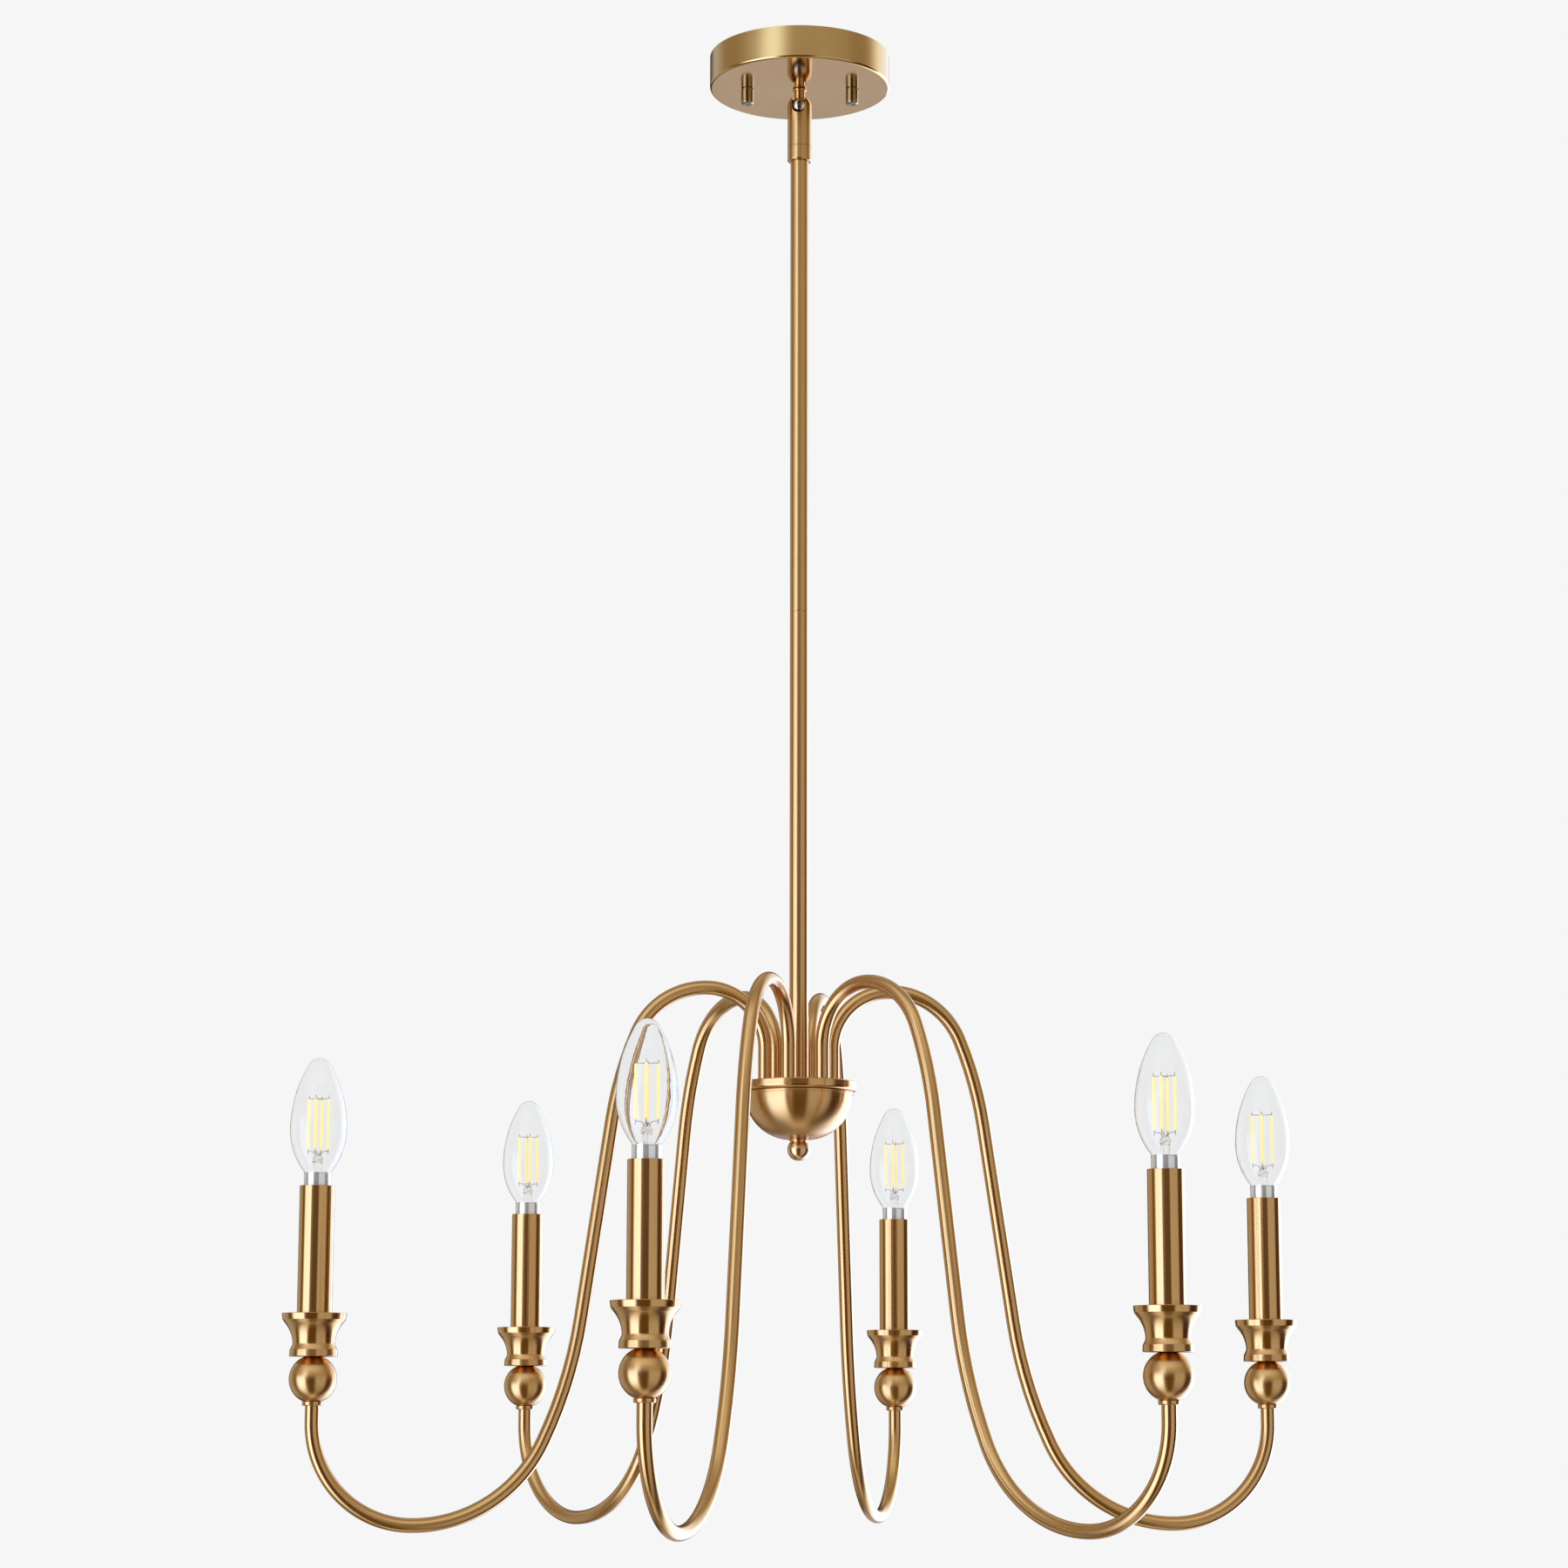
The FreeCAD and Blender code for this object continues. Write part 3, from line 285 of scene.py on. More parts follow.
def stitched(rings: list[list[int]], lengths: list[float], closed: bool) -> tuple[list, list]:
    """Join rings of corners into quads, and into triangles where a ring is one corner.

    Args:
        rings: Corner numbers of each ring, one or a full circle.
        lengths: Length along the piece of each ring; one more than the rings when closed.
        closed: Whether the last ring joins the first.

    Returns:
        Faces, and the map positions of their corners.
    """
    faces, maps = [], []
    for index in range(len(rings) if closed else len(rings) - 1):
        low, high = rings[index], rings[(index + 1) % len(rings)]
        near, far = lengths[index], lengths[index + 1]
        sides = max(len(low), len(high))
        if sides == 1:
            continue
        for side in range(sides):
            after = (side + 1) % sides
            left, right, middle = side / sides, (side + 1) / sides, (side + 0.5) / sides
            below = [(low[0], near, middle)]
            if len(low) > 1:
                below = [(low[side], near, left), (low[after], near, right)]
            above = [(high[0], far, middle)]
            if len(high) > 1:
                above = [(high[after], far, right), (high[side], far, left)]
            faces.append(tuple(corner[0] for corner in below + above))
            maps.append([corner[1:] for corner in below + above])
    return faces, maps


def turned(name: str, outline: Outline, place: Vector, sides: int = ROUND_SIDES) -> Piece:
    """Turn a closed outline about an upright axis.

    Args:
        name: Piece's name.
        outline: Section of the piece.
        place: Where the outline's zero is.
        sides: Number of sides round the axis.

    Returns:
        The turned piece.
    """
    points = outline.points()
    vertices: list[Vector] = []
    rings: list[list[int]] = []
    lengths = [0.0]
    for index, (radius, height) in enumerate(points):
        count = sides if radius > TINY else 1
        rings.append(list(range(len(vertices), len(vertices) + count)))
        for side in range(count):
            turn = 2 * math.pi * side / sides
            spot = Vector((radius * math.cos(turn), radius * math.sin(turn), height))
            vertices.append(place + spot)
        lengths.append(lengths[-1] + math.dist(points[index], points[(index + 1) % len(points)]))
    return make_piece(name, vertices, *stitched(rings, lengths, closed=True))


def drill(piece: Piece, holes: list[Vector], radius: float, depth: float) -> None:
    """Drill upright holes through a piece.

    Args:
        piece: Piece to drill; its mesh is replaced.
        holes: Lower end of each hole.
        radius: Radius of the holes.
        depth: Depth of the holes.
    """
    bits = []
    outline = Outline().to(0, -depth).to(radius, -depth).to(radius, 2 * depth).to(0, 2 * depth)
    for place in holes:
        bits.append(turned("drill_bit", outline, place, SMALL_SIDES))
        cut = piece.modifiers.new("hole", "BOOLEAN")
        cut.operation, cut.solver, cut.object = "DIFFERENCE", "EXACT", bits[-1]
    shown = piece.evaluated_get(bpy.context.evaluated_depsgraph_get())
    drilled = bpy.data.meshes.new_from_object(shown)
    piece.modifiers.clear()
    piece.data = drilled
    even_out(piece)
    for bit in bits:
        bpy.data.objects.remove(bit)


@dataclass(frozen=True)
class Station:
    """One ring of a swept tube: its centre, the way the tube runs there, and its radius."""

    centre: Vector
    way: Vector
    radius: float


def swept(
    name: str, stations: list[Station], side_way: Vector, sides: int, closed: bool = False
) -> Piece:
    """Sweep a round section along stations whose route lies in a plane.

    Args:
        name: Piece's name.
        stations: Rings along the route.
        side_way: Direction at right angles to the route's plane.
        sides: Number of sides round the tube.
        closed: Whether the last ring joins the first, as in a tube with a bore.

    Returns:
        The swept piece, with its ends closed.
    """
    vertices: list[Vector] = []
    rings: list[list[int]] = []
    lengths = [0.0]
    for index, station in enumerate(stations):
        up_way = station.way.cross(side_way).normalized()
        rings.append(list(range(len(vertices), len(vertices) + sides)))
        for side in range(sides):
            turn = 2 * math.pi * side / sides
            spoke = side_way * math.cos(turn) + up_way * math.sin(turn)
            vertices.append(station.centre + spoke * station.radius)
        after = stations[(index + 1) % len(stations)]
        step = max((after.centre - station.centre).length, abs(after.radius - station.radius))
        lengths.append(lengths[-1] + step)
    faces, maps = stitched(rings, lengths, closed)
    for end in () if closed else (0, -1):
        vertices.append(stations[end].centre)
        hub, ring = len(vertices) - 1, rings[end]
        for side in range(sides):
            faces.append((ring[side], ring[(side + 1) % sides], hub))
            maps.append([(0.0, side / sides), (0.0, (side + 1) / sides), (0.0, 0.5)])
    return make_piece(name, vertices, faces, maps)


def wire(name: str, points: list[Vector], radius: float) -> Piece:
    """Run a thin round wire through points, with its corners kept.

    Args:
        name: Piece's name.
        points: Route of the wire, within one upright plane.
        radius: Wire's radius.

    Returns:
        The wire.
    """
    stations = []
    for index, point in enumerate(points):
        way = points[min(index + 1, len(points) - 1)] - points[max(index - 1, 0)]
        stations.append(Station(point, way.normalized(), radius))
    span = max((b - a for a in points for b in points), key=lambda step: step.xy.length)
    upright = span.xy.length < 1e-6
    side_way = Vector((1, 0, 0)) if upright else Vector((-span.y, span.x, 0)).normalized()
    return swept(name, stations, side_way, WIRE_SIDES)


def joined(name: str, pieces: list[Piece]) -> Piece:
    """Gather several meshes into one piece.

    Args:
        name: Name of the gathered piece.
        pieces: Meshes to gather; they are used up.

    Returns:
        The gathered piece.
    """
    work = bmesh.new()
    for piece in pieces:
        work.from_mesh(piece.data)
    mesh = bpy.data.meshes.new(name)
    work.to_mesh(mesh)
    work.free()
    for piece in pieces:
        bpy.data.objects.remove(piece)
    return link(bpy.data.objects.new(name, mesh))


# ---- finishes ----------------------------------------------------------------------------


class Bench:
    """Adds shader nodes to one tree and joins them."""

    def __init__(self, tree: bpy.types.NodeTree) -> None:
        """Start on a tree, emptied of its default nodes."""
        tree.nodes.clear()
        self.tree = tree

    def add(self, kind: str, inputs: dict | None = None, **settings: object) -> Node:
        """Add a node.

        Args:
            kind: Blender's name of the node type.
            inputs: Values or sockets for its inputs, by input name or number.
            **settings: Properties of the node itself.

        Returns:
            The node.
        """
        node = self.tree.nodes.new(kind)
        for key, value in settings.items():
            setattr(node, key, value)
        for key, value in (inputs or {}).items():
            if isinstance(value, Socket):
                self.tree.links.new(value, node.inputs[key])
            else:
                node.inputs[key].default_value = value
        return node

    def math(self, operation: str, first: object, second: object = 0.0) -> Socket:
        """Work out one number from two."""
        return self.add("ShaderNodeMath", {0: first, 1: second}, operation=operation).outputs[0]

    def spread(
        self,
        value: Socket,
        low: float,
        high: float,
        start: float = NOISE_LOW,
        end: float = NOISE_HIGH,
    ) -> Socket:
        """Carry a number smoothly from the range start..end to low..high."""
        inputs = {0: value, 1: start, 2: end, 3: low, 4: high}
        return self.add("ShaderNodeMapRange", inputs, interpolation_type="SMOOTHSTEP").outputs[0]

    def noise(self, where: Socket, scale: float, detail: float) -> Socket:
        """Read cloud noise at a position."""
        inputs = {"Vector": where, "Scale": scale, "Detail": detail}
        return self.add("ShaderNodeTexNoise", inputs).outputs[0]

    def blend(self, share: object, first: object, second: object) -> Socket:
        """Mix two colours by a share."""
        inputs = {0: share, 6: first, 7: second}
        return self.add("ShaderNodeMix", inputs, data_type="RGBA").outputs[2]

    def bump(self, height: Socket, strength: float, distance: float) -> Socket:
        """Turn a height into a fine relief of the surface."""
        inputs = {"Height": height, "Strength": strength, "Distance": distance}
        return self.add("ShaderNodeBump", inputs).outputs[0]

    def place(self, kind: str = "Object") -> Socket:
        """Read the position on the object in metres, or on another kind of map."""
        return self.add("ShaderNodeTexCoord").outputs[kind]

    def apart(self, place: Socket) -> list[Socket]:
        """Take a position or direction apart into its three numbers."""
        return list(self.add("ShaderNodeSeparateXYZ", {0: place}).outputs)

    def rings(self, scale: float) -> Socket:
        """Read noise drawn out into rings about the fitting's upright axis.

        Args:
            scale: Scale of the noise, from ring to ring.

        Returns:
            The noise, 0 to 1.
        """
        x, y, z = self.apart(self.place())
        square = self.math("ADD", self.math("MULTIPLY", x, x), self.math("MULTIPLY", y, y))
        inputs = {0: self.math("SQRT", square), 1: z}
        return self.noise(self.add("ShaderNodeCombineXYZ", inputs).outputs[0], scale, 3.0)

    def close(self, shader: Node, kind: str = "ShaderNodeOutputMaterial") -> None:
        """Join a shader to the tree's new output."""
        self.add(kind, {"Surface": shader.outputs[0]})


def new_material(name: str) -> tuple[Material, Bench]:
    """Start a node material.

    Args:
        name: Material's name.

    Returns:
        The material and a bench on its tree.
    """
    material = bpy.data.materials.new(name)
    material.use_nodes = True
    return material, Bench(material.node_tree)


@dataclass(frozen=True)
class Coating:
    """What every finish has: its name, its colour and the shade that its colour wanders to."""

    name: str
    colour: Colour
    shade: Colour

    def tint(self, bench: Bench, tone: Socket, *ends: float) -> Socket:
        """Go from the shade to the colour as a tone rises between its ends."""
        share = bench.spread(tone, 0.0, 1.0, *ends)
        return bench.blend(share, (*self.shade, 1), (*self.colour, 1))

    def inputs(self, bench: Bench) -> dict[str, object]:
        """Inputs of the surface shader, by name."""
        raise NotImplementedError

    def material(self) -> Material:
        """Make the material.

        Returns:
            The finished material.
        """
        material, bench = new_material(self.name)
        bench.close(bench.add("ShaderNodeBsdfPrincipled", self.inputs(bench)))
        return material


class Grain(Enum):
    """How the fine lines of a brushed piece are found."""

    OWN_MAP = "by the map along and round the piece"
    MAIN_AXIS = "as rings about the fitting's own axis"


@dataclass(frozen=True)
class BrushedMetal(Coating):
    """Metal with fine lines round each piece, which draw its glints out along the piece."""

    roughness: float
    stretch: float
    coat: float = 0.15
    coat_roughness: float = 0.08
    metallic: float = 1.0
    grain: Grain = Grain.OWN_MAP
    line_scale: float = 2600.0
    line_count: float = 9.0
    line_depth: float = 0.02
    cloud_scale: float = 22.0
    dullest: float = 1.06
    brightest: float = 0.95

    def inputs(self, bench: Bench) -> dict[str, object]:
        """Work out the shader's inputs.

        Args:
            bench: Bench of the material.

        Returns:
            The inputs, by name.
        """
        if self.grain is Grain.OWN_MAP:
            scales = (self.line_scale, self.line_count, 1.0)
            inputs = {"Vector": bench.place("UV"), "Scale": scales}
            drawn_out = bench.add("ShaderNodeMapping", inputs).outputs[0]
            lines = bench.noise(drawn_out, 1.0, 3.0)
            way = {"direction_type": "UV_MAP", "uv_map": MAP_NAME}
            turn = 0.0
        else:
            lines = bench.rings(self.line_scale)
            way = {"direction_type": "RADIAL", "axis": "Z"}
            turn = 0.25
        clouds = bench.noise(bench.place(), self.cloud_scale, 2.0)
        tone = bench.math("MULTIPLY", bench.math("ADD", lines, clouds), 0.5)
        brightest = self.roughness * self.brightest
        return {
            "Base Color": self.tint(bench, tone),
            "Metallic": self.metallic,
            "Roughness": bench.spread(tone, self.roughness * self.dullest, brightest),
            "Anisotropic": self.stretch,
            "Anisotropic Rotation": turn,
            "Tangent": bench.add("ShaderNodeTangent", **way).outputs[0],
            "Normal": bench.bump(lines, self.line_depth, FINE_RELIEF),
            "Coat Weight": self.coat,
            "Coat Roughness": self.coat_roughness,
        }


@dataclass(frozen=True)
class CanopyBrass(Coating):
    """Brass of the spun canopy: a soft satin band, and an underside buffed nearly to a mirror."""

    face_height: float
    band_roughness: float = 0.24
    face_roughness: float = 0.13
    roughness_spread: float = 0.02
    edge_start: float = 0.0004
    edge_height: float = 0.0025
    line_scale: float = 1800.0
    line_depth: float = 0.03
    cloud_scale: float = 30.0
    coat: float = 0.3
    coat_roughness: float = 0.12

    def inputs(self, bench: Bench) -> dict[str, object]:
        """Work out the shader's inputs.

        Args:
            bench: Bench of the material.

        Returns:
            The inputs, by name.
        """
        lines = bench.rings(self.line_scale)
        clouds = bench.noise(bench.place(), self.cloud_scale, 4.0)
        height = bench.apart(bench.place())[2]
        low = self.face_height + self.edge_start
        high, spread = low + self.edge_height, self.roughness_spread
        base = bench.spread(height, self.face_roughness, self.band_roughness, low, high)
        return {
            "Base Color": self.tint(bench, clouds, *NARROW_NOISE),
            "Metallic": 1.0,
            "Roughness": bench.math("ADD", base, bench.spread(lines, -spread, spread)),
            "Normal": bench.bump(lines, self.line_depth, FINE_RELIEF),
            "Coat Weight": self.coat,
            "Coat Roughness": self.coat_roughness,
        }


@dataclass(frozen=True)
class NeckPolish(Coating):
    """Polish of the swivel neck: brass, with chrome as its shade from the knuckle down."""

    knuckle_top: float
    brass_roughness: float = 0.13
    chrome_roughness: float = 0.05
    blend_height: float = 0.0002
    smudge_scale: float = 260.0
    smudge_depth: float = 0.03
    smudge_spread: tuple[float, float] = (-0.015, 0.02)

    def inputs(self, bench: Bench) -> dict[str, object]:
        """Work out the shader's inputs.

        Args:
            bench: Bench of the material.

        Returns:
            The inputs, by name.
        """
        height = bench.apart(bench.place())[2]
        low, high = self.knuckle_top - self.blend_height, self.knuckle_top + self.blend_height
        base = bench.spread(height, self.chrome_roughness, self.brass_roughness, low, high)
        smudges = bench.noise(bench.place(), self.smudge_scale, 4.0)
        return {
            "Base Color": self.tint(bench, height, low, high),
            "Metallic": 1.0,
            "Roughness": bench.math("ADD", base, bench.spread(smudges, *self.smudge_spread)),
            "Normal": bench.bump(smudges, self.smudge_depth, RELIEF),
        }


@dataclass(frozen=True)
class PlatedMetal(Coating):
    """Plated steel, such as zinc with its cloudy crystals."""

    roughness: float
    clouding: float
    cloud_scale: float
    smudge_share: float = 0.3

    def inputs(self, bench: Bench) -> dict[str, object]:
        """Work out the shader's inputs.

        Args:
            bench: Bench of the material.

        Returns:
            The inputs, by name.
        """
        place = bench.place()
        inputs = {"Vector": place, "Scale": self.cloud_scale}
        crystals = bench.add("ShaderNodeTexVoronoi", inputs).outputs["Color"]
        smudges = bench.noise(place, self.cloud_scale * self.smudge_share, 5.0)
        tone = bench.math("MULTIPLY", bench.math("ADD", crystals, smudges), 0.5)
        return {
            "Base Color": self.tint(bench, tone),
            "Metallic": 1.0,
            "Roughness": bench.spread(tone, self.roughness + self.clouding, self.roughness),
            "Normal": bench.bump(tone, self.clouding, RELIEF),
        }


@dataclass(frozen=True)
class MouldedFinish(Coating):
    """Moulded or painted surface with a fine skin texture."""

    roughness: float
    skin_scale: float
    skin_depth: float
    gloss_coat: float = 0.0
    cloud_share: float = 0.08
    duller: float = 0.08
    glossier: float = 0.05

    def inputs(self, bench: Bench) -> dict[str, object]:
        """Work out the shader's inputs.

        Args:
            bench: Bench of the material.

        Returns:
            The inputs, by name.
        """
        place = bench.place()
        skin = bench.noise(place, self.skin_scale, 4.0)
        clouds = bench.noise(place, self.skin_scale * self.cloud_share, 3.0)
        dull, glossy = self.roughness + self.duller, self.roughness - self.glossier
        return {
            "Base Color": self.tint(bench, clouds),
            "Roughness": bench.spread(skin, dull, glossy),
            "Normal": bench.bump(skin, self.skin_depth, COARSE_RELIEF),
            "Coat Weight": self.gloss_coat,
        }


@dataclass(frozen=True)
class ClearGlass(Coating):
    """Thin blown glass with a painted edge tone by the viewing angle: in its shade where it is
    seen square on and in its colour at its rim.
    """

    wave_scale: float
    wave_height: float
    roughness: float = 0.0
    index: float = 1.47
    rim_start: float = 0.2
    rim_end: float = 0.6

    def inputs(self, bench: Bench) -> dict[str, object]:
        """Work out the shader's inputs.

        Args:
            bench: Bench of the material.

        Returns:
            The inputs, by name.
        """
        waves = bench.noise(bench.place(), self.wave_scale, 2.0)
        edge_on = bench.add("ShaderNodeLayerWeight", {"Blend": 0.5}).outputs["Facing"]
        return {
            # Painted edge tone: the colour runs with the viewing angle, from the shade seen square
            # on to the colour at the rim, in place of the glass's refraction and reflection.
            "Base Color": self.tint(bench, edge_on, self.rim_start, self.rim_end),
            "Roughness": self.roughness,
            "IOR": self.index,
            "Transmission Weight": 1.0,
            "Normal": bench.bump(waves, 1.0, self.wave_height),
        }


@dataclass(frozen=True)
class Phosphor(Coating):
    """Yellow coating of a filament, grainy, with a painted glow: it gives off faint light in its
    own colour, though the bulb is unlit.
    """

    # Painted glow: strength of the light that the unlit filament gives off.
    own_light: float
    roughness: float = 0.45
    grain_scale: float = 1400.0
    grain_depth: float = 0.15

    def inputs(self, bench: Bench) -> dict[str, object]:
        """Work out the shader's inputs.

        Args:
            bench: Bench of the material.

        Returns:
            The inputs, by name.
        """
        grains = bench.noise(bench.place(), self.grain_scale, 3.0)
        colour = self.tint(bench, grains, *NARROW_NOISE)
        return {
            "Base Color": colour,
            "Roughness": self.roughness,
            "Normal": bench.bump(grains, self.grain_depth, COARSE_RELIEF),
            # Painted glow: the unlit filament shines faintly in its own colour.
            "Emission Color": colour,
            "Emission Strength": self.own_light,
        }


# Colour and shade of the satin brass.
BRASS = (0.755, 0.435, 0.162), (0.725, 0.41, 0.149)


class Finish(Enum):
    """Every finish on the fitting."""

    TUBE_BRASS = BrushedMetal("satin_brass_tube", *BRASS, 0.19, 0.85)
    TURNED_BRASS = BrushedMetal("satin_brass_turned", *BRASS, 0.22, 0.85)
    BOWL_BRASS = BrushedMetal("satin_brass_bowl", *BRASS, 0.26, 0.92)
    BALL_BRASS = BrushedMetal("satin_brass_ball", *BRASS, 0.27, 0.55)
    FINIAL_BRASS = BrushedMetal(
        "bright_brass_finial", (0.84, 0.53, 0.26), (0.78, 0.47, 0.22), 0.22, 0.7
    )
    # Cap-nut brass, darker and duller than the satin brass: painted shade, for the dark look of
    # the nuts under the canopy.
    NUT_BRASS = BrushedMetal(
        "polished_brass_nut", (0.42, 0.32, 0.175), (0.35, 0.26, 0.13), 0.18, 0.4
    )
    AXIS_BRASS = BrushedMetal(
        "satin_brass_spun", *BRASS, 0.20, 0.85, grain=Grain.MAIN_AXIS, line_scale=2200.0
    )
    CANOPY_BRASS = CanopyBrass(
        "spun_brass_canopy", (0.75, 0.475, 0.178), (0.72, 0.445, 0.16), -0.022
    )
    # The chrome below the knuckle's top is the knuckle's own metal, painted a little darker for
    # the shade it sits in inside the housing's slot.
    NECK_POLISH = NeckPolish("polished_neck", (0.70, 0.42, 0.15), (0.50, 0.50, 0.52), -0.0291)
    ZINC = PlatedMetal(
        "zinc_plated_steel", (0.60, 0.61, 0.62), (0.44, 0.46, 0.49), 0.30, 0.18, 520.0
    )
    NICKEL = BrushedMetal(
        "bulb_cap_nickel", (0.90, 0.90, 0.89), (0.84, 0.83, 0.82), 0.20, 0.7, 0.0, metallic=0.75
    )
    GREEN_PAINT = MouldedFinish(
        "green_screw_paint", (0.03, 0.22, 0.07), (0.02, 0.16, 0.05), 0.4, 900.0, 0.1, 0.3
    )
    PHENOLIC = MouldedFinish(
        "black_phenolic", (0.028, 0.024, 0.022), (0.018, 0.015, 0.014), 0.45, 1100.0, 0.15
    )
    CAP_INSULATOR = MouldedFinish(
        "black_cap_glass", (0.02, 0.02, 0.022), (0.012, 0.012, 0.013), 0.2, 700.0, 0.05
    )
    # Bulb glass: painted grey where seen square on, white at its rim.
    BULB_GLASS = ClearGlass(
        "clear_bulb_glass", (1.0, 1.0, 1.0), (0.955, 0.958, 0.962), 120.0, 0.00004
    )
    # Mount glass: painted darker rim, near white where seen square on.
    MOUNT_GLASS = ClearGlass(
        "pressed_mount_glass", (0.93, 0.92, 0.91), (0.99, 0.985, 0.98), 500.0, 0.0002, 0.12, 1.35
    )
    MOUNT_WIRE = PlatedMetal(
        "mount_wire_steel", (0.42, 0.42, 0.42), (0.30, 0.30, 0.30), 0.35, 0.10, 900.0
    )
    PHOSPHOR = Phosphor("filament_phosphor", (0.98, 0.82, 0.38), (0.95, 0.74, 0.28), 0.36)


# ---- sub-assemblies ----------------------------------------------------------------------


class Fitting:
    """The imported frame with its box, and the finishes made so far."""

    def __init__(self) -> None:
        """Load the frame and keep its box."""
        self.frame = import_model()
        self.cad_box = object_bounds()
        self.made: dict[Finish, Material] = {}

    def coat(self, piece: Piece, finish: Finish) -> None:
        """Give a piece one finish all over.

        Args:
            piece: Piece to finish.
            finish: Which finish, made when it is first asked for.
        """
        if finish not in self.made:
            self.made[finish] = finish.value.material()
        if not piece.material_slots:
            piece.data.materials.append(self.made[finish])
            return
        for slot in piece.material_slots:
            slot.link = "OBJECT"
            slot.material = self.made[finish]

    def joint_place(self, name: str) -> Vector:
        """Find a joint's position by its name."""
        found = next(joint for joint in self.frame["joints"] if joint["name"] == name)
        return Vector(found["pos_m"])


@dataclass(frozen=True)
class Space:
    """Room that a frame node takes up: the middle of its underside, its radius, its height."""

    foot: Vector
    radius: float
    height: float

    @classmethod
    def of(cls, node: str) -> "Space":
        """Measure a frame node's box.

        Args:
            node: The node.

        Returns:
            Its space.
        """
        low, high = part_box(node)
        foot = Vector(((low.x + high.x) / 2, (low.y + high.y) / 2, low.z))
        return cls(foot, (high.x - low.x) / 2, high.z - low.z)


@dataclass
class Assembly:
    """Pieces that ride on one body; its name is given with a place for the number."""

    fitting: Fitting
    number: int = 0
    pieces: list[Piece] = field(default_factory=list)
    body = "hanging_frame"

    def add(self, piece: Piece, finish: Finish, node: str, slot: str = "brushed_brass") -> None:
        """Put a new piece on the body, in its finish, in place of a frame node.

        Args:
            piece: New piece, where it belongs.
            finish: Its finish.
            node: Frame node that it stands for.
            slot: Record's material slot for it; not used.
        """
        self.fitting.coat(piece, finish)
        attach(piece, self.body.format(self.number))
        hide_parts(node)
        self.pieces.append(piece)

    def keep(self, finish: Finish, *nodes: str) -> None:
        """Show frame nodes as they are, in a finish.

        Args:
            finish: The finish.
            *nodes: The nodes.
        """
        for node in nodes:
            piece = self.fitting.frame["nodes"][node]
            self.fitting.coat(piece, finish)
            self.pieces.append(piece)


@dataclass
class CeilingPlate(Assembly):
    """Canopy with its two cap nuts, and the mounting bar, studs and earth screw above it."""

    canopy_wall: float = 1.0 * MM
    canopy_edge: float = 1.6 * MM
    neck_hole: float = 3.55 * MM
    stud_hole: float = 2.25 * MM
    nut_radius: float = 4.2 * MM
    nut_crown: float = 1.6 * MM
    dimple_radius: float = 1.7 * MM
    dimple_depth: float = 0.7 * MM
    groove_height: float = 0.6 * MM
    groove_depth: float = 0.9 * MM
    groove_edges: tuple[float, float] = (0.12 * MM, 0.08 * MM)
    bore_radius: float = 2.05 * MM
    bore_depth: float = 7.0 * MM
    body = "ceiling_mount"

    def canopy_outline(self, space: Space) -> Outline:
        """Section of the canopy: a shallow cup, open at the ceiling.

        Args:
            space: Room that the canopy takes up.

        Returns:
            The section, with zero at its underside.
        """
        radius, height, inner = space.radius, space.height, space.radius - self.canopy_wall
        outline = Outline().to(self.neck_hole, 0).to(radius, 0, self.canopy_edge)
        outline.to(radius, height, FINE_EDGE).to(inner, height, FINE_EDGE)
        outline.to(inner, self.canopy_wall, self.canopy_edge - self.canopy_wall)
        return outline.to(self.neck_hole, self.canopy_wall)

    def nut_outline(self, length: float) -> Outline:
        """Section of a cap nut, from its crown up to its seat.

        Args:
            length: Nut's length.

        Returns:
            The section, with zero at the crown.
        """
        radius, bore = self.nut_radius, self.bore_radius
        waist, groove = radius - self.groove_depth, length - self.groove_height
        outline = Outline().to(0, self.dimple_depth).to(self.dimple_radius, 0, SMALL_EDGE)
        outline.arc((radius - self.nut_crown, self.nut_crown), self.nut_crown, -90, 0, 10)
        outline.to(radius, groove, self.groove_edges[0]).to(waist, groove, self.groove_edges[1])
        outline.to(waist, length).to(bore, length, FINE_EDGE)
        return outline.to(bore, length - self.bore_depth).to(0, length - self.bore_depth)

    def build(self) -> None:
        """Make the canopy and its cap nuts, and finish what the frame gives."""
        canopy, nuts = Space.of("canopy"), Space.of("cap_nuts")
        face = canopy.foot.z
        outline = self.canopy_outline(canopy)
        shell = turned("canopy_shell", outline, lift(face), CANOPY_SIDES)
        holes = []
        for side, way in (("left", -1), ("right", 1)):
            place = nuts.foot + Vector((way * (nuts.radius - self.nut_radius), 0, 0))
            holes.append(Vector((place.x, place.y, face)))
            nut = turned("cap_nut_" + side, self.nut_outline(nuts.height), place, NUT_SIDES)
            self.add(nut, Finish.NUT_BRASS, "cap_nuts")
        drill(shell, holes, self.stud_hole, self.canopy_wall)
        self.add(shell, Finish.CANOPY_BRASS, "canopy")
        self.keep(Finish.ZINC, "mounting_bar", "mounting_studs")
        self.keep(Finish.GREEN_PAINT, "ground_screw")


@dataclass
class Swivel(Assembly):
    """Polished neck and knuckle that the domed housing tilts on, all kept from the frame."""

    def build(self) -> None:
        """Finish the swivel's pieces."""
        self.keep(Finish.NECK_POLISH, "swivel_neck")
        self.keep(Finish.ZINC, "neck_nut", "trunnions")
        self.keep(Finish.AXIS_BRASS, "swivel_housing")


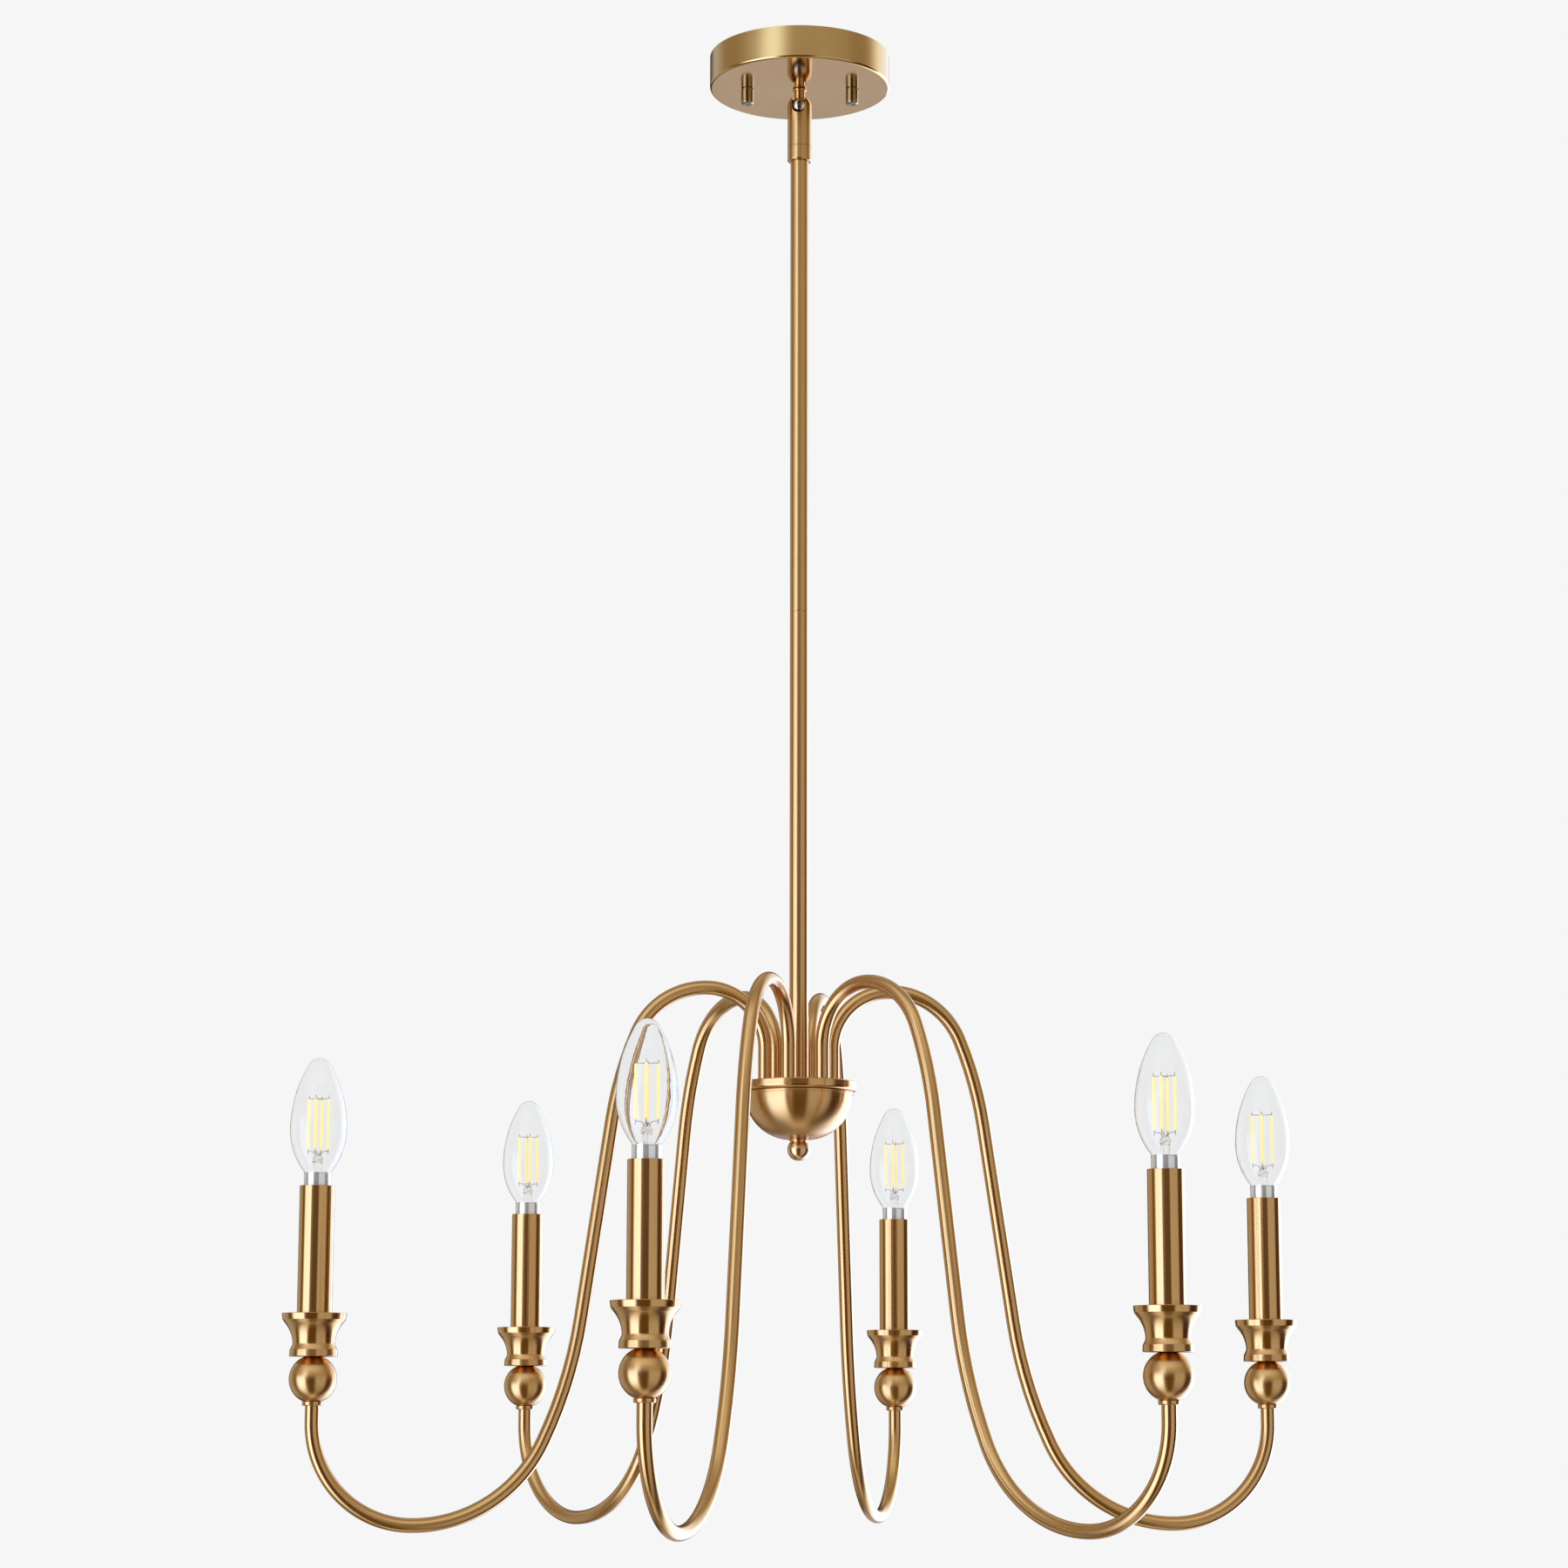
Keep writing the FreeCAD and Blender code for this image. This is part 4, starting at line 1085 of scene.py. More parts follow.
@dataclass
class Rods(Assembly):
    """Coupler ring and the two rods below it."""

    rod_bore: float = 5.0 * MM
    end_fillet: float = 0.35 * MM
    coupler_spigot: float = 6.55 * MM
    coupler_rise: float = 7.0 * MM
    coupler_fillet: float = 1.0 * MM
    seam_fillet: float = 0.4 * MM

    def rod_outline(self, space: Space) -> Outline:
        """Section of a rod's wall.

        Args:
            space: Room that the rod takes up.

        Returns:
            The section, with zero at the rod's lower end.
        """
        outline = Outline().to(self.rod_bore, 0)
        for height in (0, space.height):
            outline.to(space.radius, height, self.end_fillet)
        return outline.to(self.rod_bore, space.height)

    def coupler_outline(self, space: Space) -> Outline:
        """Section of the coupler, a ring with a narrower spigot on top.

        Args:
            space: Room that ring and spigot take up.

        Returns:
            The section, with zero at the ring's underside.
        """
        ring, spigot = space.height - self.coupler_rise, self.coupler_spigot
        outline = Outline().to(self.rod_bore, 0).to(space.radius, 0, self.coupler_fillet)
        outline.to(space.radius, ring, self.seam_fillet).to(spigot, ring)
        return outline.to(spigot, space.height, SMALL_EDGE).to(self.rod_bore, space.height)

    def build(self) -> None:
        """Make the rods and the coupler."""
        for node in ("upper_rod", "lower_rod"):
            space = Space.of(node)
            tube = turned(node + "_tube", self.rod_outline(space), space.foot)
            self.add(tube, Finish.TUBE_BRASS, node)
        space = Space.of("rod_coupler")
        ring = turned("coupler_ring", self.coupler_outline(space), lift(space.foot.z))
        self.add(ring, Finish.TURNED_BRASS, "rod_coupler")
        self.keep(Finish.ZINC, "rod_nipples")


@dataclass
class Hub(Assembly):
    """Hub plate with its stem and nuts, the bowl under it, and the finial."""

    side_radius: float = 29.0 * MM
    flat_radius: float = 5.3 * MM
    centre_depth: float = 1.4 * MM
    bowl_wall: float = 1.2 * MM
    bead_height: float = 2.0 * MM
    bead_fillet: float = 0.9 * MM
    bolt_radius: float = 3.05 * MM
    finial_radius: float = 7.25 * MM
    finial_flange: float = 6.4 * MM
    flange_height: float = 0.5 * MM
    finial_neck: float = 5.4 * MM
    neck_sag: float = 0.25 * MM
    finial_thread: float = 7.0 * MM

    def bowl_outline(self, space: Space) -> Outline:
        """Section of the bowl's wall with the bead at its rim.

        Args:
            space: Room that the bowl takes up, out to its bead.

        Returns:
            The section, with zero at the rim.
        """
        centre = (self.flat_radius, -self.centre_depth)
        inner = self.side_radius - self.bowl_wall
        below = rise_angle(self.side_radius, self.centre_depth - self.bead_height)
        outline = Outline().to(self.bolt_radius, self.bowl_wall - space.height)
        outline.arc(centre, inner, -90.0, rise_angle(inner, self.centre_depth), 32)
        for level in (0.0, -self.bead_height):
            outline.to(space.radius, level, self.bead_fillet)
        outline.arc(centre, self.side_radius, below, -90.0, 40)
        return outline.to(self.bolt_radius, -space.height)

    def finial_outline(self, height: float) -> Outline:
        """Section of the finial: a ball, a short neck, a thin flange and a tapped hole.

        Args:
            height: Finial's height.

        Returns:
            The section, with zero at its lowest point.
        """
        radius, hole_end = self.finial_radius, height - self.finial_thread
        start = math.degrees(math.acos(self.finial_neck / radius))
        outline = Outline().arc((0.0, radius), radius, -90, start, 26)
        outline.bow(self.finial_flange, height - self.flange_height, self.neck_sag, 6)
        outline.to(self.finial_flange, height, FINE_EDGE).to(self.bolt_radius, height)
        return outline.to(self.bolt_radius, hole_end).to(0, hole_end)

    def build(self) -> None:
        """Make the bowl and finial, and finish what the frame gives."""
        space = Space.of("hub_bowl")
        rim = lift(space.foot.z + space.height)
        bowl = turned("bowl_shell", self.bowl_outline(space), rim, BOWL_SIDES)
        space = Space.of("finial")
        finial = turned("finial_ball", self.finial_outline(space.height), lift(space.foot.z))
        self.add(bowl, Finish.BOWL_BRASS, "hub_bowl")
        self.add(finial, Finish.FINIAL_BRASS, "finial")
        self.keep(Finish.AXIS_BRASS, "hub_plate")
        self.keep(Finish.ZINC, "hub_stem", "hub_nuts")


@dataclass(frozen=True)
class Bend:
    """One step of the arm's bending programme: a run, or a bend when its angle isn't zero."""

    size: float
    angle: float = 0.0


@dataclass
class Arm(Assembly):
    """Bent tube from the hub plate, over its crown and down round to the candle."""

    radius: float = 4.5 * MM
    wall: float = 1.2 * MM
    foot_radius: float = 4.0 * MM
    foot_length: float = 9.0 * MM
    ball_insert: float = 6.0 * MM
    step_angle: float = 2.5
    programme: tuple[Bend, ...] = (
        Bend(21.6 * MM),
        Bend(37.7 * MM, -90.0),
        Bend(49.1 * MM, -67.5),
        Bend(234.0 * MM, -14.0),
        Bend(126.0 * MM),
        Bend(272.0 * MM, 16.8),
        Bend(88.3 * MM, 66.0),
        Bend(62.4 * MM, 88.7),
        Bend(15.9 * MM),
    )
    body = "arm_unit_{}"

    def route(self) -> list[tuple[Vector, Vector]]:
        """Follow the bending programme in the arm's own plane.

        Returns:
            Points and headings, as (outwards, up) pairs, from the plate's top.
        """
        place, heading = Vector((0.0, 0.0)), 90.0
        stops = [(place, heading)]
        for step in self.programme:
            if step.angle == 0:
                place = place + compass(heading) * step.size
                stops.append((place, heading))
                continue
            reach = math.copysign(step.size, step.angle)
            centre = place + compass(heading + 90) * reach
            count = math.ceil(abs(step.angle) / self.step_angle)
            for index in range(1, count + 1):
                there = heading + step.angle * index / count
                place = centre - compass(there + 90) * reach
                stops.append((place, there))
            heading += step.angle
        return [(place, compass(angle)) for place, angle in stops]

    def build(self) -> None:
        """Make the arm where its frame node is."""
        stem = self.fitting.joint_place(f"arm_turn_{self.number}")
        ball = Space.of(f"ball_{self.number}").foot
        outward = Vector((ball.x - stem.x, ball.y - stem.y, 0)).normalized()
        route = self.route()
        top = Vector((stem.x, stem.y, ball.z + self.ball_insert - route[-1][0].y))

        def station(point: Vector, way: Vector, radius: float) -> Station:
            """Ring at a point of the arm's plane."""
            centre = top + outward * point.x + lift(point.y)
            return Station(centre, outward * way.x + lift(way.y), radius)

        start, up = route[0]
        foot, inner = start - up * self.foot_length, self.radius - self.wall
        rings = [station(foot, up, inner), station(foot, up, self.foot_radius)]
        rings.append(station(start, up, self.foot_radius))
        rings.append(station(start, up, self.radius - FINE_EDGE))
        rings.append(station(start + up * FINE_EDGE, up, self.radius))
        rings += [station(*stop, self.radius) for stop in route[1:]]
        rings += [station(*stop, inner) for stop in reversed(route)]
        node = f"arm_{self.number}"
        tube = swept(node + "_tube", rings, lift(1).cross(outward), TUBE_SIDES, closed=True)
        self.add(tube, Finish.TUBE_BRASS, node)


@dataclass
class Candle(Assembly):
    """Ball with its collar, flared cup, sleeve and lampholder at the end of an arm."""

    ball_radius: float = 14.75 * MM
    ball_centre: float = 16.2 * MM
    ball_top: float = 29.9 * MM
    collar_radius: float = 6.35 * MM
    collar_height: float = 2.6 * MM
    collar_bead: float = 0.9 * MM
    arm_hole: float = 4.55 * MM
    arm_insert: float = 6.0 * MM
    wire_hole: float = 3.0 * MM
    stem_hole: float = 4.8 * MM
    stem_insert: float = 6.0 * MM
    cup_rim: float = 19.9 * MM
    cup_rim_height: float = 3.9 * MM
    cup_taper: float = 0.5 * MM
    cup_ledge: float = 1.3 * MM
    cup_ledge_height: float = 1.9 * MM
    cup_waist: float = 13.0 * MM
    cup_waist_height: float = 7.7 * MM
    cup_sag: float = 1.25 * MM
    cup_shoulder_sag: float = 0.15 * MM
    cup_foot: float = 14.85 * MM
    cup_foot_edge: float = 0.5 * MM
    cup_foot_taper: float = 0.25 * MM
    cup_foot_height: float = 4.2 * MM
    cup_wall: float = 1.2 * MM
    cup_floor: float = 3.0 * MM
    cup_floor_edge: float = 0.6 * MM
    sleeve_wall: float = 0.8 * MM
    sleeve_edges: tuple[float, float, float] = (0.1 * MM, 0.15 * MM, 0.25 * MM)
    body = "arm_unit_{}"

    def ball_outline(self) -> Outline:
        """Section of the ball and its beaded collar, round the stepped bore.

        Returns:
            The section, with zero at the collar's underside.
        """
        radius, centre, top = self.ball_radius, self.ball_centre, self.ball_top
        low, high = (rise_angle(radius, end - centre) for end in (self.collar_height, top))
        step = top - self.stem_insert
        outline = Outline().to(self.arm_hole, 0, FINE_EDGE)
        for height in (0, self.collar_height):
            outline.to(self.collar_radius, height, self.collar_bead)
        outline.arc((0.0, centre), radius, low, high, 40)
        outline.to(self.stem_hole, top).to(self.stem_hole, step)
        outline.to(self.wire_hole, step).to(self.wire_hole, self.arm_insert)
        return outline.to(self.arm_hole, self.arm_insert)

    def cup_outline(self, height: float) -> Outline:
        """Section of the cup: foot band, shoulder, waist, flare, ledge and rim band.

        Args:
            height: Cup's height.

        Returns:
            The section, with zero at the foot's underside.
        """
        wall = self.cup_wall
        inner_waist = self.cup_waist - wall
        band_low = (self.cup_rim - self.cup_taper, height - self.cup_rim_height)
        flare_high = (band_low[0] - self.cup_ledge, band_low[1] - self.cup_ledge_height)
        outline = Outline().to(self.stem_hole, 0).to(self.cup_foot, 0, self.cup_foot_edge)
        outline.to(self.cup_foot - self.cup_foot_taper, self.cup_foot_height, FINE_EDGE)
        outline.bow(self.cup_waist, self.cup_waist_height, self.cup_shoulder_sag, 8)
        outline.bow(*flare_high, self.cup_sag, 16).to(*band_low, FINE_EDGE)
        outline.to(self.cup_rim, height, SOFT_EDGE).to(self.cup_rim - wall, height, SOFT_EDGE)
        outline.to(band_low[0] - wall, band_low[1], SOFT_EDGE)
        outline.to(flare_high[0] - wall, flare_high[1])
        outline.bow(inner_waist, self.cup_waist_height, -self.cup_sag, 12)
        outline.to(inner_waist, self.cup_floor, self.cup_floor_edge)
        return outline.to(self.stem_hole, self.cup_floor)

    def sleeve_outline(self, space: Space) -> Outline:
        """Section of the sleeve's wall.

        Args:
            space: Room that the sleeve takes up.

        Returns:
            The section, with zero at its lower end.
        """
        radius, height, (inside, outside, top) = space.radius, space.height, self.sleeve_edges
        inner = radius - self.sleeve_wall
        outline = Outline().to(inner, 0, inside).to(radius, 0, outside)
        return outline.to(radius, height, top).to(inner, height, top)

    def build(self) -> None:
        """Make the candle's brass pieces and finish the lampholder."""
        nodes = [f"{kind}_{self.number}" for kind in ("ball", "cup", "sleeve")]
        ball, cup, sleeve = (Space.of(node) for node in nodes)
        made = (
            ("_turned", self.ball_outline(), ball, Finish.BALL_BRASS),
            ("_shell", self.cup_outline(cup.height), cup, Finish.TURNED_BRASS),
            ("_tube", self.sleeve_outline(sleeve), sleeve, Finish.TUBE_BRASS),
        )
        for node, (word, outline, space, finish) in zip(nodes, made):
            self.add(turned(node + word, outline, space.foot), finish, node)
        self.keep(Finish.PHENOLIC, f"lampholder_{self.number}")


@dataclass
class Bulb(Assembly):
    """Clear candle bulb: screw cap, glass, pressed mount, wires and upright filaments."""

    skirt_radius: float = 8.5 * MM
    skirt_height: float = 9.0 * MM
    skirt_wall: float = 0.5 * MM
    roll_low: float = 0.9 * MM
    roll_high: float = 0.7 * MM
    skirt_lip: float = 0.25 * MM
    thread_radius: float = 6.9 * MM
    thread_depth: float = 0.75 * MM
    thread_pitch: float = 2.82 * MM
    thread_length: float = 16.5 * MM
    thread_rows: int = 96
    thread_sides: int = 72
    thread_fades: tuple[float, float] = (0.06, 0.16)
    cone_share: float = 0.13
    cone_depth: float = 0.9 * MM
    insulator_radius: float = 5.0 * MM
    insulator_top: float = 0.4 * MM
    insulator_drop: float = 1.3 * MM
    insulator_sag: float = 0.25 * MM
    contact_radius: float = 2.5 * MM
    contact_top: float = 1.2 * MM
    contact_rim: float = 1.6 * MM
    contact_drop: float = 2.0 * MM
    contact_edge: float = 0.1 * MM
    glass_radius: float = 17.5 * MM
    glass_height: float = 71.0 * MM
    belly_height: float = 27.0 * MM
    upper_radius: float = 80.0 * MM
    glass_neck: float = 7.95 * MM
    glass_wall: float = 0.65 * MM
    neck_insert: float = 4.0 * MM
    filament_count: int = 4
    filament_radius: float = 0.9 * MM
    filament_end: float = 1.2 * MM
    filament_tip: float = 0.8
    filament_shoulder: float = 0.5 * MM
    filament_circle: float = 6.4 * MM
    filament_foot: float = 14.5 * MM
    filament_length: float = 31.0 * MM
    set_angles: tuple[float, ...] = (-2.0, -22.0, -10.0, -11.0, 15.0, -10.0)
    stem_radius: float = 2.8 * MM
    stem_height: float = 11.0 * MM
    flare_drop: float = 1.5 * MM
    pinch_low: float = 5.5 * MM
    pinch_over: float = 1.2 * MM
    pinch_radius: float = 1.4 * MM
    pinch_steps: int = 24
    pinch_widening: float = 0.22
    pinch_flattening: float = 0.45
    pinch_ripples: tuple[tuple[float, int, float], ...] = ((0.16, 3, 2400.0), (0.10, 7, -4100.0))
    rod_radius: float = 0.8 * MM
    rod_taper: float = 1.0 * MM
    wire_radius: float = 0.22 * MM
    body = "bulb_unit_{}"

    def glass_outline(self) -> Outline:
        """Section of the glass: three arcs from neck to tip, outside and then back inside.

        Returns:
            The section, with zero at the skirt's top.
        """
        belly, neck, rise = self.glass_radius, self.glass_neck, self.belly_height
        lower = ((belly - neck) ** 2 + rise**2) / (2 * (belly - neck))
        upper, above = self.upper_radius, self.glass_height - rise
        tip = (upper**2 - (upper - belly) ** 2 - above**2) / (2 * (upper - above))
        tilt = math.degrees(math.atan2(above - tip, upper - belly))
        arcs = (
            ((belly - lower, rise), lower, rise_angle(lower, -rise), 0.0),
            ((belly - upper, rise), upper, 0.0, tilt),
            ((0.0, self.glass_height - tip), tip, tilt, 90.0),
        )
        outline = Outline().to(neck, -self.neck_insert)
        for centre, radius, start, end in arcs:
            outline.arc(centre, radius, start, end, 22)
        for centre, radius, start, end in reversed(arcs):
            outline.arc(centre, radius - self.glass_wall, end, start, 22)
        return outline.to(neck - self.glass_wall, -self.neck_insert)

    def skirt_outline(self) -> Outline:
        """Section of the cap's plain skirt, with a rolled upper edge and a floor.

        Returns:
            The section, with zero at the skirt's top.
        """
        radius, low, floor = self.skirt_radius, -self.skirt_height, -self.neck_insert
        plain, inner = radius - SMALL_EDGE, radius - self.skirt_wall
        outline = Outline().to(0, low).to(self.thread_radius - self.thread_depth, low)
        outline.to(plain, low, 2 * SOFT_EDGE).to(plain, -self.roll_low, SMALL_EDGE)
        outline.to(radius, -self.roll_high, SMALL_EDGE).to(radius, 0, self.skirt_lip)
        return outline.to(inner, 0, SMALL_EDGE).to(inner, floor).to(0, floor)

    def threaded_shell(self, name: str, place: Vector) -> Piece:
        """Rolled screw thread under the skirt, closed by its end cone.

        Args:
            name: Piece's name.
            place: Skirt's top on the bulb's axis.

        Returns:
            The thread.
        """
        high, core = -self.skirt_height, self.thread_radius - self.thread_depth
        rows, sides, (fade_in, fade_out) = self.thread_rows, self.thread_sides, self.thread_fades
        vertices: list[Vector] = []
        rings: list[list[int]] = []
        for row in range(rows + 1):
            share = row / rows
            level = high - self.thread_length * share
            fade = max(0.0, min(1.0, share / fade_in, (1 - share) / fade_out))
            taper = max(0.0, share - 1 + self.cone_share) / self.cone_share
            rings.append(list(range(len(vertices), len(vertices) + sides)))
            for side in range(sides):
                turn = 2 * math.pi * side / sides
                wave = 0.5 + 0.5 * math.cos(2 * math.pi * (level / self.thread_pitch) - turn)
                radius = core + self.thread_depth * wave * fade - self.cone_depth * taper
                spoke = Vector((math.cos(turn), math.sin(turn), 0)) * radius
                vertices.append(place + spoke + lift(level))
        for level, ends in ((high, 0), (high - self.thread_length, len(rings))):
            vertices.append(place + lift(level))
            rings.insert(ends, [len(vertices) - 1])
        lengths = [self.thread_length * index / rows for index in range(len(rings) + 1)]
        return make_piece(name, vertices, *stitched(rings, lengths, closed=False))

    def insulator_outline(self) -> Outline:
        """Section of the black glass between the thread and the contact.

        Returns:
            The section, with zero at the thread's end.
        """
        hole, low = self.contact_radius + self.contact_edge, -self.insulator_drop
        outline = Outline().to(0, self.insulator_top).to(self.insulator_radius, self.insulator_top)
        return outline.bow(hole, low, self.insulator_sag, 8).to(0, low)

    def contact_outline(self) -> Outline:
        """Section of the soldered end contact.

        Returns:
            The section, with zero at the thread's end.
        """
        radius, top = self.contact_radius, -self.contact_top
        outline = Outline().to(0, top).to(radius, top, self.contact_edge)
        outline.to(radius, -self.contact_rim, FINE_EDGE)
        return outline.bow(0.0, -self.contact_drop, -FINE_EDGE, 8)

    def mount(self, name: str, place: Vector) -> Piece:
        """Pressed glass mount: a flared tube, a crumpled pinch and a thin rod.

        Args:
            name: Piece's name.
            place: Skirt's top on the bulb's axis.

        Returns:
            The mount.
        """
        radius, low, high = self.stem_radius, self.pinch_low, self.stem_height + self.pinch_over
        foot, head = -self.neck_insert, self.filament_foot + self.filament_length
        flare = radius + self.pinch_over
        outline = Outline().to(0, foot).to(flare, foot).to(radius + SMALL_EDGE, -self.flare_drop)
        outline.to(radius, 0)
        for step in range(self.pinch_steps + 1):
            share = step / self.pinch_steps
            narrow = (radius - self.pinch_radius) * share**2
            outline.to(radius - narrow, low + (high - low) * share)
        outline.to(self.rod_radius, high + self.rod_taper)
        outline.to(self.rod_radius, head - SOFT_EDGE, SOFT_EDGE).to(0, head)
        piece = turned(name, outline, place, SMALL_SIDES)
        for vertex in piece.data.vertices:
            level = vertex.co.z - place.z
            share = (level - low) / (high - low)
            if not 0 < share < 1:
                continue
            press = math.sin(math.pi * share)
            away = vertex.co - place
            turn = math.atan2(away.y, away.x)
            ripple = 0.0
            for size, folds, climb in self.pinch_ripples:
                ripple += size * math.sin(folds * turn + climb * level)
            vertex.co.x = place.x + away.x * (1 + press * (self.pinch_widening + ripple))
            vertex.co.y = place.y + away.y * (1 - press * (self.pinch_flattening - ripple))
        return piece

    def spoke(self, index: int) -> Vector:
        """Direction of a filament from the bulb's axis, by how far the bulb is screwed round."""
        set_angle = self.set_angles[self.number - 1]
        return compass(set_angle - 90 + 360 * index / self.filament_count).to_3d()

    def wires(self, name: str, place: Vector) -> Piece:
        """Support wires to the filaments' two ends, each with a small upright tail.

        Args:
            name: Piece's name.
            place: Skirt's top on the bulb's axis.

        Returns:
            The wires, as one piece.
        """
        ring, foot = self.filament_circle / MM, self.filament_foot / MM
        head, stem = foot + self.filament_length / MM, self.stem_height / MM
        runs = (
            ((0.0, head + 0.1), (ring, head + 0.4)),
            ((ring, head - 1.2), (ring, head + 2.2)),
            ((1.0, stem - 0.5), (2.4, foot - 2.2), (3.2, foot - 1.5), (ring, foot - 1.1)),
            ((ring, foot - 3.1), (ring, foot + 0.8)),
        )
        parts = []
        for index in range(self.filament_count):
            way = self.spoke(index) * MM
            for run in runs:
                points = [place + way * out + lift(up * MM) for out, up in run]
                parts.append(wire(name, points, self.wire_radius))
        return joined(name, parts)

    def filament_outline(self) -> Outline:
        """Section of a filament: a coated rod with rounded ends.

        Returns:
            The section, with zero at its foot.
        """
        radius, length, tip = self.filament_radius, self.filament_length, self.filament_tip
        outline = Outline().to(0, 0).to(radius * tip, 0, SOFT_EDGE)
        for height in (self.filament_end, length - self.filament_end):
            outline.to(radius, height, self.filament_shoulder)
        return outline.to(radius * tip, length, SOFT_EDGE).to(0, length)

    def build(self) -> None:
        """Make the bulb where its frame nodes are."""
        name, glass_node = f"bulb_{self.number}_", f"bulb_glass_{self.number}"
        base = f"bulb_base_{self.number}"
        top = Space.of(glass_node).foot + lift(self.neck_insert)
        end = top - lift(self.skirt_height + self.thread_length)
        foot = top + lift(self.filament_foot)
        skirt = turned(name + "skirt", self.skirt_outline(), top)
        self.add(skirt, Finish.NICKEL, base, "nickel")
        self.add(self.threaded_shell(name + "thread", top), Finish.NICKEL, base, "nickel")
        insulator = turned(name + "insulator", self.insulator_outline(), end, SMALL_SIDES)
        self.add(insulator, Finish.CAP_INSULATOR, base, "phenolic")
        contact = turned(name + "contact", self.contact_outline(), end, SMALL_SIDES)
        self.add(contact, Finish.ZINC, base, "nickel")
        mount = self.mount(name + "mount", top)
        self.add(mount, Finish.MOUNT_GLASS, base, "glass")
        self.add(self.wires(name + "wires", top), Finish.MOUNT_WIRE, base, "nickel")
        glass = turned(name + "glass", self.glass_outline(), top)
        self.add(glass, Finish.BULB_GLASS, glass_node, "glass")
        for index in range(self.filament_count):
            spot = foot + self.spoke(index) * self.filament_circle
            rod_name = f"{name}filament_{index + 1}"
            rod = turned(rod_name, self.filament_outline(), spot, FILAMENT_SIDES)
            self.add(rod, Finish.PHOSPHOR, base, "glass")
        for clear in (glass, mount):
            clear.visible_shadow = False
            clear.visible_diffuse = False


# ---- studio ------------------------------------------------------------------------------


def grey(level: float, warmth: float = 0.0) -> Colour:
    """Grey of a level, warm with less green and blue, or cool when warmth is negative."""
    return (level, max(0.0, level * (1 - 0.36 * warmth)), max(0.0, level * (1 - 0.95 * warmth)))


PANEL = (1.85, 2.4, 3.9)
COOL_WALL = (0.57, 0.58, 0.69)


@dataclass(frozen=True)
class Surround:
    """What the room looks like to polished metal at one elevation, by angle round the room."""

    elevation: float
    stops: tuple[tuple[float, Colour], ...]

    def colour(self, bench: Bench, round_share: Socket) -> Socket | tuple:
        """Colour of the surround by direction round the room.

        Args:
            bench: Bench on the world's tree.
            round_share: Direction round the room, 0 to 1 from back round to back.

        Returns:
            A colour socket, or a plain colour where the surround has one stop.
        """
        if len(self.stops) == 1:
            return (*self.stops[0][1], 1)
        ramp = bench.add("ShaderNodeValToRGB", {0: round_share})
        elements = ramp.color_ramp.elements
        while len(elements) < len(self.stops):
            elements.new(0.5)
        for element, (azimuth, colour) in zip(elements, self.stops):
            element.position = azimuth / 360 + 0.5
            element.color = (*colour, 1)
        return ramp.outputs[0]


